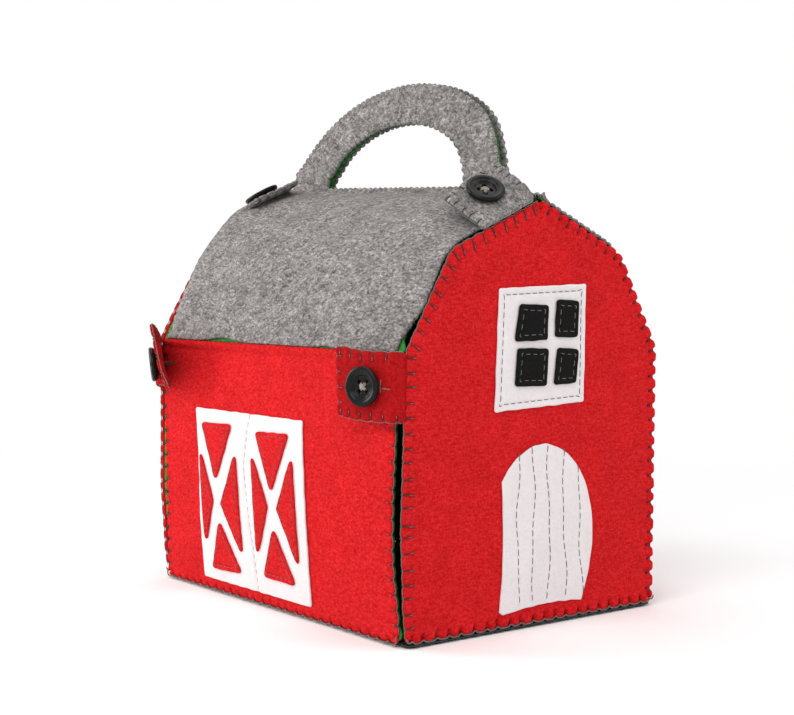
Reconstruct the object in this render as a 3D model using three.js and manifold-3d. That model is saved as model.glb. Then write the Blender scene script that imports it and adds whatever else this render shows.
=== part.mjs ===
// A sewn felt toy barn that is its own carrying case. The gables and walls are stiffened
// felt panels, and each half of the roof is one bent sheet of felt with half of the
// carrying handle cut in one with it. The gables, the right wall and the right half of the
// roof are sewn together on the base. The left wall is hinged on the base by its seam and
// the left half of the roof on the wall's top, and felt tabs on the gables button onto the
// two at the eave and beside the ridge. Units are millimetres, +Z is up and the origin is
// the middle of the underside. The front gable faces -Y and the wall that opens faces -X.

import * as THREE from 'three';
import { mergeVertices } from 'three/addons/utils/BufferGeometryUtils.js';
import Module from 'manifold-3d';

const wasm = await Module();
wasm.setup();

// Overall sizes of the barn
const barnWidth = 173;
const barnLength = 225;
const eaveHeight = 140;
const shoulderHeight = 189.5;
const shoulderHalfWidth = 58.5;
const peakHeight = 215.5;

// Layers of a stiffened panel, from the outside in, and the gap kept between layers
const outerFelt = 1.8;
const board = 1.5;
const liningFelt = 1.6;
const layerGap = 0.3;
const baseFelt = 1.8;
const boardInset = 4.5;
const cornerSlit = 2;
const boardRunningGap = 0.5;

// Rounded corners of the cut felt
const panelCorner = 3;
const eaveRound = 14;
const shoulderRound = 12;
const peakRound = 9;

// Window and door sewn to each gable
const appliqueFelt = 1.3;
const windowWidth = 61;
const windowHeight = 60.5;
const windowOffset = 0.6;
const windowTurn = THREE.MathUtils.degToRad(2);
const windowCorner = 1.2;
const windowAboveDoor = 19.25;
const paneHeight = 18.4;
const leftPaneWidth = 22.3;
const rightPaneWidth = 17.6;
const paneColumnGap = 4;
const paneRowGap = 4.4;
const paneBlockOffset = 3.9;
const paneCorner = 1.6;
const doorWidth = 66;
const doorHeight = 84.5;
const doorOffset = 6.2;
const doorFoot = 8.2;

// Barn doors sewn to each long wall
const barnDoorWidth = 104;
const barnDoorHeight = 95.3;
const barnDoorFoot = 7.2;
const barnDoorOffset = 17.5;
const barnDoorSideShift = 7;
const barnDoorCorner = 1.5;
const triangleRound = 2.2;

// Roof halves and their handles
const roofFelt = 1.8;
const roofLining = 1.6;
const roofEndGap = 0.6;
const roofOverGable = 1.4;
const eaveSeamGap = 0.3;
const ridgeGap = 0.6;
const roofBelowEave = 4;
const crownAbovePeak = 12;
const crownOutFromShoulder = 8.4;
const crownAboveShoulder = 22;
const crownTaper = 36;
const ridgeTurnUp = 4;
const ridgeTurnIn = 3;
const handleAboveCrown = 55;
const handleFootInset = 20.9;
const handleBandWidth = 30;
const handHoleHeight = 34;

// Buttoned tabs
const tabThickness = 3.9;
const tabCorner = 2;
const eaveTabLength = 43;
const eaveTabHeight = 33.2;
const eaveTabTop = 140.4;
const eaveTabStandOff = THREE.MathUtils.degToRad(14);
const ridgeTabLength = 37;
const ridgeTabWidth = 38.5;
const ridgeTabFromPeak = 5;
const ridgeTabClearance = 3.1;
const slitLength = 21.5;
const slitWidth = 1.4;
const slitPastButton = 7;

// Buttons
const buttonDiameter = 20.4;
const buttonRimHeight = 3.8;
const buttonEdge = 1;
const buttonDishRadius = 6.6;
const buttonDishDepth = 1.5;
const buttonRimWidth = 1.9;
const buttonHole = 2.1;
const buttonHoleSpacing = 4.4;
const eaveButtonFromRoot = 21;
const ridgeButtonFromRoot = 20;

// Counts of facets
const roofStations = 18;
const slopeSteps = 12;
const bendSteps = 3;
const buttonSides = 28;
const holeSides = 8;
const curveSteps = 4;
const handleSteps = 14;

// Sizes that follow from the ones above
const overrun = 2 * boardInset;
const panelThickness = outerFelt + board + liningFelt + 2 * layerGap;
const seamHeight = baseFelt + layerGap;
const halfWidth = barnWidth / 2;
const halfLength = barnLength / 2;
const roofLength = barnLength - 2 * (panelThickness + roofEndGap);
const wallTop = eaveHeight;
const crownHeight = peakHeight + crownAbovePeak;
const crownControlX = shoulderHalfWidth + crownOutFromShoulder;
const crownControlHeight = shoulderHeight + crownAboveShoulder;
const handleTop = crownHeight + handleAboveCrown;
const handleHalfSpan = roofLength / 2 - handleFootInset;
const handHoleHalfSpan = handleHalfSpan - handleBandWidth;
const windowCentreHeight = doorFoot + doorHeight + windowAboveDoor + windowHeight / 2;
const slopeRun = Math.hypot(shoulderHalfWidth, peakHeight - shoulderHeight);
const slopeCos = shoulderHalfWidth / slopeRun;
const slopeSin = (peakHeight - shoulderHeight) / slopeRun;

// Shares of the door's width and height, from its lower left corner, going round
const doorOutlineShares = {
  start: [0.0, 0.02],
  leftFoot: [0.035, 0.0],
  footMiddle: [0.48, 0.05],
  rightFoot: [0.87, 0.015],
  rightSwell: [1.06, 0.37],
  rightShoulder: [0.93, 0.68],
  rightCrown: [0.79, 0.97],
  crown: [0.43, 1.0],
  leftCrown: [0.12, 0.98],
  leftShoulder: [0.0, 0.79],
  leftWaist: [0.05, 0.4],
};

// Shares of the barn-door panel's width and height for the three corners of each triangle
const leafTriangleShares = {
  left_upper: [[0.062, 0.918], [0.37, 0.929], [0.185, 0.578]],
  left_outer: [[0.022, 0.79], [0.158, 0.471], [0.055, 0.176]],
  left_inner: [[0.392, 0.789], [0.232, 0.458], [0.42, 0.167]],
  left_lower: [[0.207, 0.365], [0.105, 0.068], [0.395, 0.077]],
  right_upper: [[0.59, 0.909], [0.9, 0.921], [0.715, 0.573]],
  right_outer: [[0.538, 0.812], [0.677, 0.498], [0.55, 0.175]],
  right_inner: [[0.92, 0.818], [0.76, 0.498], [0.935, 0.179]],
  right_lower: [[0.716, 0.392], [0.603, 0.1], [0.897, 0.095]],
};

const felt = (color) => new THREE.MeshStandardMaterial({ color, roughness: 1, metalness: 0 });
const redFelt = felt('#c0121d');
const whiteFelt = felt('#f2f0f1');
const blackFelt = felt('#17171a');
const greyFelt = felt('#6f7275');
const greenFelt = felt('#1d7a2c');
const stiffener = new THREE.MeshStandardMaterial({ color: '#e6e2d6', roughness: 0.6, metalness: 0 });
const blackPlastic = new THREE.MeshStandardMaterial({ color: '#141517', roughness: 0.3, metalness: 0 });

const vector = (x, y, z) => new THREE.Vector3(x, y, z);

// A closed outline through the corners, each one rounded off by its own radius
function roundedShape(corners, radii) {
  const shape = new THREE.Shape();
  corners.forEach((corner, i) => {
    const before = corners.at(i - 1);
    const after = corners[(i + 1) % corners.length];
    const toBefore = before.clone().sub(corner).normalize();
    const toAfter = after.clone().sub(corner).normalize();
    const halfTurn = (Math.PI - toBefore.angleTo(toAfter)) / 2;
    const setback = radii[i] * Math.tan(halfTurn);
    const enter = corner.clone().addScaledVector(toBefore, setback);
    const leave = corner.clone().addScaledVector(toAfter, setback);
    if (i === 0) shape.moveTo(enter.x, enter.y);
    else shape.lineTo(enter.x, enter.y);
    shape.quadraticCurveTo(corner.x, corner.y, leave.x, leave.y);
  });
  return shape;
}

// The corners of a rectangle about a centre
function rectangle(centreX, centreY, width, height) {
  const signs = [[-1, -1], [1, -1], [1, 1], [-1, 1]];
  return signs.map(([i, j]) => new THREE.Vector2(centreX + i * width / 2, centreY + j * height / 2));
}

function roundedRectangle(centreX, centreY, width, height, radius) {
  return roundedShape(rectangle(centreX, centreY, width, height), Array(4).fill(radius));
}

// A flat piece of sheet, from one depth to a greater one along its own Z
function sheet(shape, from, thickness) {
  const options = { depth: thickness, bevelEnabled: false, curveSegments: curveSteps };
  return new THREE.ExtrudeGeometry(shape, options).translate(0, 0, from);
}

function mesh(name, geometry, material) {
  const piece = new THREE.Mesh(geometry, material);
  piece.name = name;
  return piece;
}

// One side of the barn, drawn flat: X to the right and Y up as seen from outside, Z outward
function side(turn, distance, pieces) {
  const upright = new THREE.Group();
  upright.rotation.x = Math.PI / 2;
  upright.position.y = -distance;
  upright.add(...pieces);
  const around = new THREE.Group();
  around.rotation.z = turn;
  around.add(upright);
  return around;
}

function toSolid(geometry) {
  const bare = geometry.clone();
  bare.deleteAttribute('normal');
  bare.deleteAttribute('uv');
  const merged = mergeVertices(bare);
  const vertProperties = new Float32Array(merged.attributes.position.array);
  const triVerts = new Uint32Array(merged.index.array);
  return new wasm.Manifold(new wasm.Mesh({ numProp: 3, vertProperties, triVerts }));
}

function toGeometry(solid) {
  const { vertProperties, triVerts } = solid.getMesh();
  const geometry = new THREE.BufferGeometry();
  geometry.setAttribute('position', new THREE.BufferAttribute(new Float32Array(vertProperties), 3));
  geometry.setIndex(new THREE.BufferAttribute(new Uint32Array(triVerts), 1));
  geometry.computeVertexNormals();
  return geometry;
}

// Outer felt, stiffening board and lining of one panel, the board held back from the seam
function panelLayers(name, outline, boardOutline) {
  const boardBack = outerFelt + layerGap + board;
  return [
    mesh(`${name}_felt`, sheet(outline, -outerFelt, outerFelt), redFelt),
    mesh(`${name}_board`, sheet(boardOutline, -boardBack, board), stiffener),
    mesh(`${name}_lining`, sheet(outline, -panelThickness, liningFelt), greenFelt),
  ];
}

// The gambrel outline of a gable, drawn in from its own edge by an inset
function gableOutline(inset) {
  const run = halfWidth - inset;
  const foot = seamHeight + inset;
  const eave = eaveHeight - inset / 2;
  const shoulderX = shoulderHalfWidth - inset * (1 - slopeSin);
  const shoulder = shoulderHeight - inset * slopeCos;
  const corners = [
    new THREE.Vector2(-run, foot),
    new THREE.Vector2(run, foot),
    new THREE.Vector2(run, eave),
    new THREE.Vector2(shoulderX, shoulder),
    new THREE.Vector2(0, peakHeight - inset / slopeCos),
    new THREE.Vector2(-shoulderX, shoulder),
    new THREE.Vector2(-run, eave),
  ];
  const sides = [eaveRound, shoulderRound];
  return roundedShape(corners, [panelCorner, panelCorner, ...sides, peakRound, ...sides.reverse()]);
}

// The white window square and its four panes, one felt layer on the next
function gableWindow(name) {
  const frameBack = layerGap;
  const paneBack = frameBack + appliqueFelt + layerGap;
  const frameShape = roundedRectangle(0, 0, windowWidth, windowHeight, windowCorner);
  const frame = mesh(`${name}_window_frame`, sheet(frameShape, frameBack, appliqueFelt), whiteFelt);
  const blockWidth = leftPaneWidth + paneColumnGap + rightPaneWidth;
  const columns = [
    ['left', paneBlockOffset - blockWidth / 2 + leftPaneWidth / 2, leftPaneWidth],
    ['right', paneBlockOffset + blockWidth / 2 - rightPaneWidth / 2, rightPaneWidth],
  ];
  const rows = [['upper', 1], ['lower', -1]];
  const panes = rows.flatMap(([row, up]) => columns.map(([column, x, width]) => {
    const y = up * (paneHeight + paneRowGap) / 2;
    const shape = roundedRectangle(x, y, width, paneHeight, paneCorner);
    return mesh(`${name}_pane_${row}_${column}`, sheet(shape, paneBack, appliqueFelt), blackFelt);
  }));
  const group = new THREE.Group();
  group.position.set(-windowOffset, windowCentreHeight, 0);
  group.rotation.z = windowTurn;
  group.add(frame, ...panes);
  return group;
}

// The arched door, wider to the right at mid height, on a slightly hollow foot
function archedDoor(name) {
  const point = (key) => {
    const [across, up] = doorOutlineShares[key];
    return [doorOffset + (across - 1 / 2) * doorWidth, doorFoot + up * doorHeight];
  };
  const shape = new THREE.Shape();
  shape.moveTo(...point('start'));
  shape.lineTo(...point('leftFoot'));
  shape.quadraticCurveTo(...point('footMiddle'), ...point('rightFoot'));
  shape.quadraticCurveTo(...point('rightSwell'), ...point('rightShoulder'));
  shape.quadraticCurveTo(...point('rightCrown'), ...point('crown'));
  shape.quadraticCurveTo(...point('leftCrown'), ...point('leftShoulder'));
  shape.quadraticCurveTo(...point('leftWaist'), ...point('start'));
  return mesh(`${name}_arched_door`, sheet(shape, layerGap, appliqueFelt), whiteFelt);
}

// A barn-door panel point from its shares, with the slant of the sewn panel
function barnDoorPoint([across, up]) {
  const shift = (1 / 2 - up) * barnDoorSideShift;
  const x = (across - 1 / 2) * barnDoorWidth + shift - barnDoorOffset;
  return new THREE.Vector2(x, barnDoorFoot + up * barnDoorHeight);
}

function barnDoorPanelShape() {
  const corners = [[0, 0], [1, 0], [1, 1], [0, 1]].map(barnDoorPoint);
  return roundedShape(corners, Array(4).fill(barnDoorCorner));
}

function leafTriangleShape(shares) {
  const corners = shares.map(barnDoorPoint);
  return roundedShape(corners, Array(3).fill(triangleRound));
}

// The white panel of the two barn doors and the eight red triangles sewn to it
function barnDoors(name) {
  const triangleBack = 2 * layerGap + appliqueFelt;
  const panel = sheet(barnDoorPanelShape(), layerGap, appliqueFelt);
  const triangles = Object.entries(leafTriangleShares).map(([key, shares]) => {
    const shape = leafTriangleShape(shares);
    return mesh(`${name}_door_triangle_${key}`, sheet(shape, triangleBack, appliqueFelt), redFelt);
  });
  return [mesh(`${name}_barn_door_panel`, panel, whiteFelt), ...triangles];
}

// A two-layer felt tab, rooted on its edge, with a buttonhole slit along its length
function tabGeometry(length, width, buttonFromRoot) {
  const shape = roundedRectangle(length / 2, 0, length, width, tabCorner);
  const slitCentre = buttonFromRoot + slitPastButton - slitLength / 2;
  shape.holes.push(roundedRectangle(slitCentre, 0, slitLength, slitWidth, slitWidth / 2));
  return sheet(shape, 0, tabThickness);
}

// A turned four-hole button with a raised rim and a dished middle, its back on Z = 0
function buttonGeometry() {
  const radius = buttonDiameter / 2;
  const rimInner = radius - buttonRimWidth;
  const floor = buttonRimHeight - buttonDishDepth;
  const profile = [
    new THREE.Vector2(0, 0),
    new THREE.Vector2(radius - buttonEdge, 0),
    new THREE.Vector2(radius, buttonEdge),
    new THREE.Vector2(radius, buttonRimHeight - buttonEdge),
    new THREE.Vector2(radius - buttonEdge, buttonRimHeight),
    new THREE.Vector2(rimInner, buttonRimHeight - buttonDishDepth / 4),
    new THREE.Vector2(buttonDishRadius, floor),
    new THREE.Vector2(0, floor),
  ];
  const body = toSolid(new THREE.LatheGeometry(profile, buttonSides).rotateX(Math.PI / 2));
  const through = buttonRimHeight + 2 * overrun;
  const offset = buttonHoleSpacing / 2;
  const places = [[-1, -1], [1, -1], [1, 1], [-1, 1]];
  const drilled = places.reduce((solid, [i, j]) => {
    const drill = new THREE.CylinderGeometry(buttonHole / 2, buttonHole / 2, through, holeSides);
    drill.rotateX(Math.PI / 2).translate(i * offset, j * offset, 0);
    return solid.subtract(toSolid(drill));
  }, body);
  return toGeometry(drilled);
}

// Lays a piece on a frame of its own: X along, Y across, Z out, from an origin
function lay(piece, origin, along, out) {
  const across = vector().crossVectors(out, along);
  const matrix = new THREE.Matrix4().makeBasis(along, across, out).setPosition(origin);
  piece.applyMatrix4(matrix);
  return piece;
}

// A tab and the button that it fastens on, both on the frame of the tab's root
function buttonedTab(name, size, root, along, out) {
  const { length, width, buttonFromRoot } = size;
  const material = size.material;
  const tab = mesh(`${name}_tab`, tabGeometry(length, width, buttonFromRoot), material);
  const button = mesh(`${name}_button`, buttonGeometry(), blackPlastic);
  button.position.set(buttonFromRoot, 0, tabThickness + layerGap);
  const group = new THREE.Group();
  group.add(tab, button);
  return lay(group, root, along, out);
}

// Eave tab: rooted on the gable's upright edge and lying back along the wall that opens
function eaveTab(gable, s) {
  const size = { length: eaveTabLength, width: eaveTabHeight, material: redFelt };
  size.buttonFromRoot = eaveButtonFromRoot;
  const root = vector(s * (halfWidth + layerGap), eaveTabTop - eaveTabHeight / 2, 0);
  const along = vector(s * Math.sin(eaveTabStandOff), 0, -Math.cos(eaveTabStandOff));
  const out = vector(s * Math.cos(eaveTabStandOff), 0, Math.sin(eaveTabStandOff));
  return buttonedTab(`${gable}_eave`, size, root, along, out);
}

// Ridge tab: rooted on the gable's upper slope beside the peak and lying back on the roof
function ridgeTab(gable, s) {
  const size = { length: ridgeTabLength, width: ridgeTabWidth, material: greyFelt };
  size.buttonFromRoot = ridgeButtonFromRoot;
  const fromPeak = ridgeTabFromPeak + ridgeTabWidth / 2;
  const normal = vector(s * slopeSin, slopeCos, 0);
  const root = vector(s * fromPeak * slopeCos, peakHeight - fromPeak * slopeSin, 0);
  root.addScaledVector(normal, layerGap);
  const back = vector(0, 0, -1);
  const rise = ridgeTabRise();
  const along = back.clone().multiplyScalar(Math.cos(rise));
  along.addScaledVector(normal, Math.sin(rise));
  const out = normal.clone().multiplyScalar(Math.cos(rise));
  out.addScaledVector(back, -Math.sin(rise));
  return buttonedTab(`${gable}_ridge`, size, root, along, out);
}

// A gable, with its tabs on the side on which the barn opens: -1 its left, 1 its right
function gable(name, turn, openSide) {
  const pieces = [
    ...panelLayers(`${name}_gable`, gableOutline(0), gableOutline(boardInset)),
    gableWindow(name),
    archedDoor(name),
    eaveTab(name, openSide),
    ridgeTab(name, openSide),
  ];
  return side(turn, halfLength, pieces);
}

// A long wall between the gables, which leaves a slit at each corner
function longWall(name, turn, slit) {
  const length = barnLength - 2 * (panelThickness + slit);
  const height = wallTop - seamHeight;
  const centre = (wallTop + seamHeight) / 2;
  const boardHeight = height - 2 * boardInset;
  const boardLength = length - 2 * boardInset;
  const outline = roundedRectangle(0, centre, length, height, panelCorner);
  const boardOutline = roundedRectangle(0, centre, boardLength, boardHeight, panelCorner);
  const pieces = [...panelLayers(`${name}_wall`, outline, boardOutline), ...barnDoors(name)];
  return side(turn, halfWidth, pieces);
}

// Underside felt over the whole footprint, board and floor lining inside the walls
function base() {
  const floorWidth = barnWidth - 2 * (panelThickness + boardRunningGap);
  const floorLength = barnLength - 2 * (panelThickness + boardRunningGap);
  const underside = roundedRectangle(0, 0, barnWidth, barnLength, panelCorner);
  const floor = roundedRectangle(0, 0, floorWidth, floorLength, panelCorner);
  const stiff = roundedRectangle(
    0, 0, floorWidth - 2 * boardInset, floorLength - 2 * boardInset, panelCorner);
  const liningFoot = seamHeight + board + layerGap;
  return [
    mesh('base_underside_felt', sheet(underside, 0, baseFelt), greyFelt),
    mesh('base_board', sheet(stiff, seamHeight, board), stiffener),
    mesh('base_floor_lining', sheet(floor, liningFoot, liningFelt), greenFelt),
  ];
}

// How far the roof has swelled from the gable's outline at a distance along the ridge
function crownShare(y) {
  const inFromEnd = (roofLength / 2 - Math.abs(y)) / crownTaper;
  return THREE.MathUtils.smoothstep(inFromEnd, 0, 1);
}

// The roof's outer line across the barn: up the slope, then turned up beside the ridge
function roofLine(slope, turnFoot, rise) {
  const riserX = -(ridgeGap / 2 + roofFelt + layerGap + roofLining);
  const foot = new THREE.Vector2(riserX - ridgeTurnIn, turnFoot);
  const top = new THREE.Vector2(riserX, turnFoot + ridgeTurnUp);
  const bend = new THREE.QuadraticBezierCurve(
    foot, new THREE.Vector2(riserX, turnFoot + ridgeTurnIn * rise), top);
  const points = slope(foot).getSpacedPoints(slopeSteps);
  points.pop();
  points.push(...bend.getPoints(bendSteps));
  points.push(new THREE.Vector2(riserX, handleTop + overrun));
  return points;
}

const eavePoint = new THREE.Vector2(-(halfWidth + layerGap), wallTop - roofBelowEave);

// Close over the gable's own outline at the ends of the roof
function endLine() {
  const shoulder = new THREE.Vector2(-shoulderHalfWidth, shoulderHeight + roofOverGable);
  const slopeTan = slopeSin / slopeCos;
  const riserX = ridgeGap / 2 + roofFelt + layerGap + roofLining;
  const footHeight = peakHeight + roofOverGable - (riserX + ridgeTurnIn) * slopeTan;
  const slope = (foot) => {
    const path = new THREE.Path();
    const toEave = eavePoint.clone().sub(shoulder).setLength(shoulderRound).add(shoulder);
    const toRidge = foot.clone().sub(shoulder).setLength(shoulderRound).add(shoulder);
    path.moveTo(eavePoint.x, eavePoint.y);
    path.lineTo(toEave.x, toEave.y);
    path.quadraticCurveTo(shoulder.x, shoulder.y, toRidge.x, toRidge.y);
    path.lineTo(foot.x, foot.y);
    return path;
  };
  return roofLine(slope, footHeight, slopeTan);
}

// Swelled out in one curve along the middle of the roof
function crownLine() {
  const control = new THREE.Vector2(-crownControlX, crownControlHeight);
  const footHeight = crownHeight - ridgeTurnUp;
  const rise = (footHeight - crownControlHeight) / crownControlX;
  return roofLine((foot) => new THREE.QuadraticBezierCurve(eavePoint, control, foot), footHeight, rise);
}

// Height of a roof line over a place across the barn
function heightAt(line, x) {
  const next = line.findIndex((point) => point.x > x);
  const before = line[next - 1];
  const after = line[next];
  return THREE.MathUtils.mapLinear(x, before.x, after.x, before.y, after.y);
}

// Angle of a ridge tab off the gable's slope, which clears the roof swelling up behind it
function ridgeTabRise() {
  const x = -(ridgeTabFromPeak + ridgeTabWidth / 2) * slopeCos;
  const swell = heightAt(crownLine(), x) - heightAt(endLine(), x);
  const share = crownShare(halfLength - ridgeTabLength);
  const lift = (roofOverGable + swell * share + ridgeTabClearance) * slopeCos;
  return Math.asin(lift / ridgeTabLength);
}

// A line moved inward, to the right of its own direction, by a distance
function insetLine(points, distance) {
  return points.map((point, i) => {
    const before = points[Math.max(i - 1, 0)];
    const after = points[Math.min(i + 1, points.length - 1)];
    const along = after.clone().sub(before).normalize();
    return new THREE.Vector2(point.x + along.y * distance, point.y - along.x * distance);
  });
}

// The bent sheet between two depths below the roof's outer surface, before it is cut out
function bentSheet(depth, thickness) {
  const ends = endLine();
  const crown = crownLine();
  const rows = 2 * ends.length;
  const position = [];
  for (let j = 0; j <= roofStations; j += 1) {
    const y = (j / roofStations - 1 / 2) * (roofLength + 2 * overrun);
    const share = crownShare(y);
    const line = ends.map((point, i) => point.clone().lerp(crown[i], share));
    const ring = [...insetLine(line, depth), ...insetLine(line, depth + thickness).reverse()];
    ring.forEach((point) => position.push(point.x, y, point.y));
  }
  const index = [];
  for (let j = 0; j < roofStations; j += 1) {
    for (let i = 0; i < rows; i += 1) {
      const a = j * rows + i;
      const b = j * rows + (i + 1) % rows;
      const outward = i < rows / 2;
      if (outward) index.push(a, b, a + rows, b, b + rows, a + rows);
      else index.push(a, b, b + rows, a, b + rows, a + rows);
    }
  }
  const last = roofStations * rows;
  for (let i = 0; i < rows / 2 - 1; i += 1) {
    const a = i;
    const b = i + 1;
    const c = rows - 1 - i;
    const d = rows - 2 - i;
    index.push(a, c, b, c, d, b);
    index.push(last + a, last + b, last + c, last + c, last + b, last + d);
  }
  const geometry = new THREE.BufferGeometry();
  geometry.setAttribute('position', new THREE.Float32BufferAttribute(position, 3));
  geometry.setIndex(index);
  return toSolid(geometry);
}

// Height of the turned-up ridge edge along the roof
function ridgeEdge(y) {
  const ends = endLine();
  const crown = crownLine();
  const edge = ends.length - 2;
  return THREE.MathUtils.lerp(ends[edge].y, crown[edge].y, crownShare(y));
}

// Flat outline of a roof half seen from the side: sheet, handle arch and hand hole
function roofCutter() {
  const half = roofLength / 2;
  const foot = wallTop + eaveSeamGap;
  const shape = new THREE.Shape();
  const arch = (span, height, from, steps) => {
    const points = [];
    for (let i = 0; i <= steps; i += 1) {
      const angle = Math.PI * i / steps;
      points.push([span * Math.cos(angle), from + height * Math.sin(angle)]);
    }
    return points;
  };
  const shoulderSteps = curveSteps;
  const rim = [];
  for (let i = 0; i < shoulderSteps; i += 1) {
    const y = THREE.MathUtils.lerp(half, handleHalfSpan, i / shoulderSteps);
    rim.push([y, ridgeEdge(y)]);
  }
  const archFoot = ridgeEdge(handleHalfSpan);
  const outer = arch(handleHalfSpan, handleTop - archFoot, archFoot, 2 * handleSteps);
  const left = rim.map(([y, z]) => [-y, z]).reverse();
  shape.moveTo(-half, foot);
  shape.lineTo(half, foot);
  [...rim, ...outer, ...left].forEach(([y, z]) => shape.lineTo(y, z));
  const hole = new THREE.Shape();
  const inner = arch(handHoleHalfSpan, handHoleHeight, ridgeEdge(0), handleSteps);
  inner.forEach(([y, z], i) => (i === 0 ? hole.moveTo(y, z) : hole.lineTo(y, z)));
  const across = (outline, reach) => {
    const prism = new THREE.ExtrudeGeometry(outline, { depth: reach, bevelEnabled: false });
    prism.rotateX(Math.PI / 2).rotateZ(Math.PI / 2).translate(-reach, 0, 0);
    return toSolid(prism);
  };
  return across(shape, barnWidth).subtract(across(hole, barnWidth));
}

function roofHalf(name) {
  const cutter = roofCutter();
  const outer = bentSheet(0, roofFelt).intersect(cutter);
  const lining = bentSheet(roofFelt + layerGap, roofLining).intersect(cutter);
  return [
    mesh(`${name}_roof_felt`, toGeometry(outer), greyFelt),
    mesh(`${name}_roof_lining`, toGeometry(lining), greenFelt),
  ];
}

function turnedRound(pieces) {
  const group = new THREE.Group();
  group.rotation.z = Math.PI;
  group.add(...pieces);
  return group;
}

const barn = new THREE.Group();
barn.add(
  ...base(),
  gable('front', 0, -1),
  gable('back', Math.PI, 1),
  longWall('left', -Math.PI / 2, cornerSlit),
  longWall('right', Math.PI / 2, layerGap),
  ...roofHalf('left'),
  turnedRound(roofHalf('right')),
);

export default barn;
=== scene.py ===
"""Looks of a sewn felt toy barn that is its own carrying case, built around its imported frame.

Lengths are in millimetres while a surface is worked out, and metres in its mesh. A felt piece is a
flat pattern of points, each with its distance to the cut edge, laid in space by a place function;
the front and the back of the felt meet in one rounded edge. Stitches pull that edge in, and each
stitch is a piece of thread of its own. In a formula, s(x; a, b) is the smooth share of x from a to
b, and h(x; a, w) is exp(-((x - a) / w)^2).
"""

from math import cos, hypot, pi, radians, sin

import bpy
import numpy as np
from mathutils import Matrix, Vector


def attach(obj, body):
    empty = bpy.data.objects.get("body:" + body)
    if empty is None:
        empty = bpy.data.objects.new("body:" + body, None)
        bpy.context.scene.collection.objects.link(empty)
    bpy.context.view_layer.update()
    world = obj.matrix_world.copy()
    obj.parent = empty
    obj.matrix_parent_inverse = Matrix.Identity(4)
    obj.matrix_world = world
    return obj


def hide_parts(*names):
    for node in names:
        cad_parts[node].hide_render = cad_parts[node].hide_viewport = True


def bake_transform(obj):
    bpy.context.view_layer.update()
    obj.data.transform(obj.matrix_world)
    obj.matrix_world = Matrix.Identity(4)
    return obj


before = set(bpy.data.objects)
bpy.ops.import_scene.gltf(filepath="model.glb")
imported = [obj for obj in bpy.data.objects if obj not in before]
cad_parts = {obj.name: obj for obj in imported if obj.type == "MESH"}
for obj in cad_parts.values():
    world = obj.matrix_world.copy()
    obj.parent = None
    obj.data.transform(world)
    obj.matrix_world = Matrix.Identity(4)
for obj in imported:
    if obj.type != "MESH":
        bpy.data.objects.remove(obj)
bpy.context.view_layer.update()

MM = 0.001
LEFT, RIGHT = -1, 1

# Overall sizes of the barn
BARN_WIDTH, BARN_LENGTH = 173.0, 225.0
HALF_WIDTH, HALF_LENGTH = BARN_WIDTH / 2, BARN_LENGTH / 2
EAVE_HEIGHT, SHOULDER_HEIGHT, PEAK_HEIGHT = 140.0, 189.5, 215.5
SHOULDER_HALF_WIDTH = 58.5
SEAM_HEIGHT, PANEL_THICKNESS, LAYER_GAP = 2.1, 5.5, 0.3
FELT_THICK, LINING_THICK = 1.8, 1.6
WALL_LENGTH, ROOF_LENGTH = 210.0, 212.8
SLOPE_RUN = hypot(SHOULDER_HALF_WIDTH, PEAK_HEIGHT - SHOULDER_HEIGHT)
SLOPE_COS = SHOULDER_HALF_WIDTH / SLOPE_RUN
SLOPE_SIN = (PEAK_HEIGHT - SHOULDER_HEIGHT) / SLOPE_RUN
FINE_THREAD_RADIUS = 0.19


def style(pitch, leg, depth, draw, puff, radius):
    """How an edge is sewn: the distance from stitch to stitch, each one's leg, the depth of the
    groove under it, how far it draws the cut edge in, how far the felt puffs up between two, and
    the thread's radius."""
    return {"pitch": pitch, "leg": leg, "depth": depth, "draw": draw, "puff": puff, "radius": radius}


FREE_EDGE = style(7.2, 7.6, 0.8, 0.55, 0.45, 0.3)
WALL_END = style(7.2, 4.4, 0.8, 0.9, 0.45, 0.26)
SEAM_EDGE = style(7.6, 4.6, 1.7, 0.7, 1.1, 0.42)
WALL_SEAM = style(7.6, 4.6, 1.1, 0.3, 0.8, 0.42)
FOOT_EDGE = style(8.0, 3.8, 1.9, 1.2, 1.4, 0.0)
WALL_FOOT = style(7.8, 3.0, 0.8, 0.9, 0.5, 0.0)
ROLL_EDGE = style(4.7, 2.6, 0.45, 0.5, 0.4, 0.0)
WHIP_EDGE = style(4.7, 3.1, 0.5, 0.95, 0.35, 0.27)
TAB_EDGE = style(7.4, 5.0, 0.6, 0.6, 0.35, 0.28)
BASE_EDGE = style(7.4, 4.2, 0.4, 0.6, 0.0, 0.3)


# Arrays and outlines


def smooth(x, start, end):
    """Share that rises from 0 at start to 1 at end as 3 t^2 - 2 t^3."""
    t = np.clip((np.asarray(x, float) - start) / (end - start), 0, 1)
    return t * t * (3 - 2 * t)


def hill(x, top, width):
    """exp(-((x - top) / width)^2)."""
    return np.exp(-(((x - top) / width) ** 2))


def waves(x, y, length, seed):
    """Soft ripples from -1 to 1: the mean of six sines of about that wavelength, each in a
    direction and phase of its own."""
    rng = np.random.default_rng(seed)
    total = np.zeros(np.broadcast(x, y).shape)
    for _ in range(6):
        turn, phase = rng.uniform(0, 2 * pi, 2)
        step = 2 * pi / (length * rng.uniform(0.7, 1.5))
        total += np.sin((x * cos(turn) + y * sin(turn)) * step + phase)
    return total / 6


def unit(vectors):
    """Vectors brought to length one."""
    return vectors / np.maximum(np.linalg.norm(vectors, axis=-1), 1e-9)[..., None]


def curve(a, b, c, t):
    """Parabola (1 - t)^2 a + 2 t (1 - t) b + t^2 c."""
    return (1 - t) ** 2 * a + 2 * t * (1 - t) * b + t**2 * c


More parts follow.
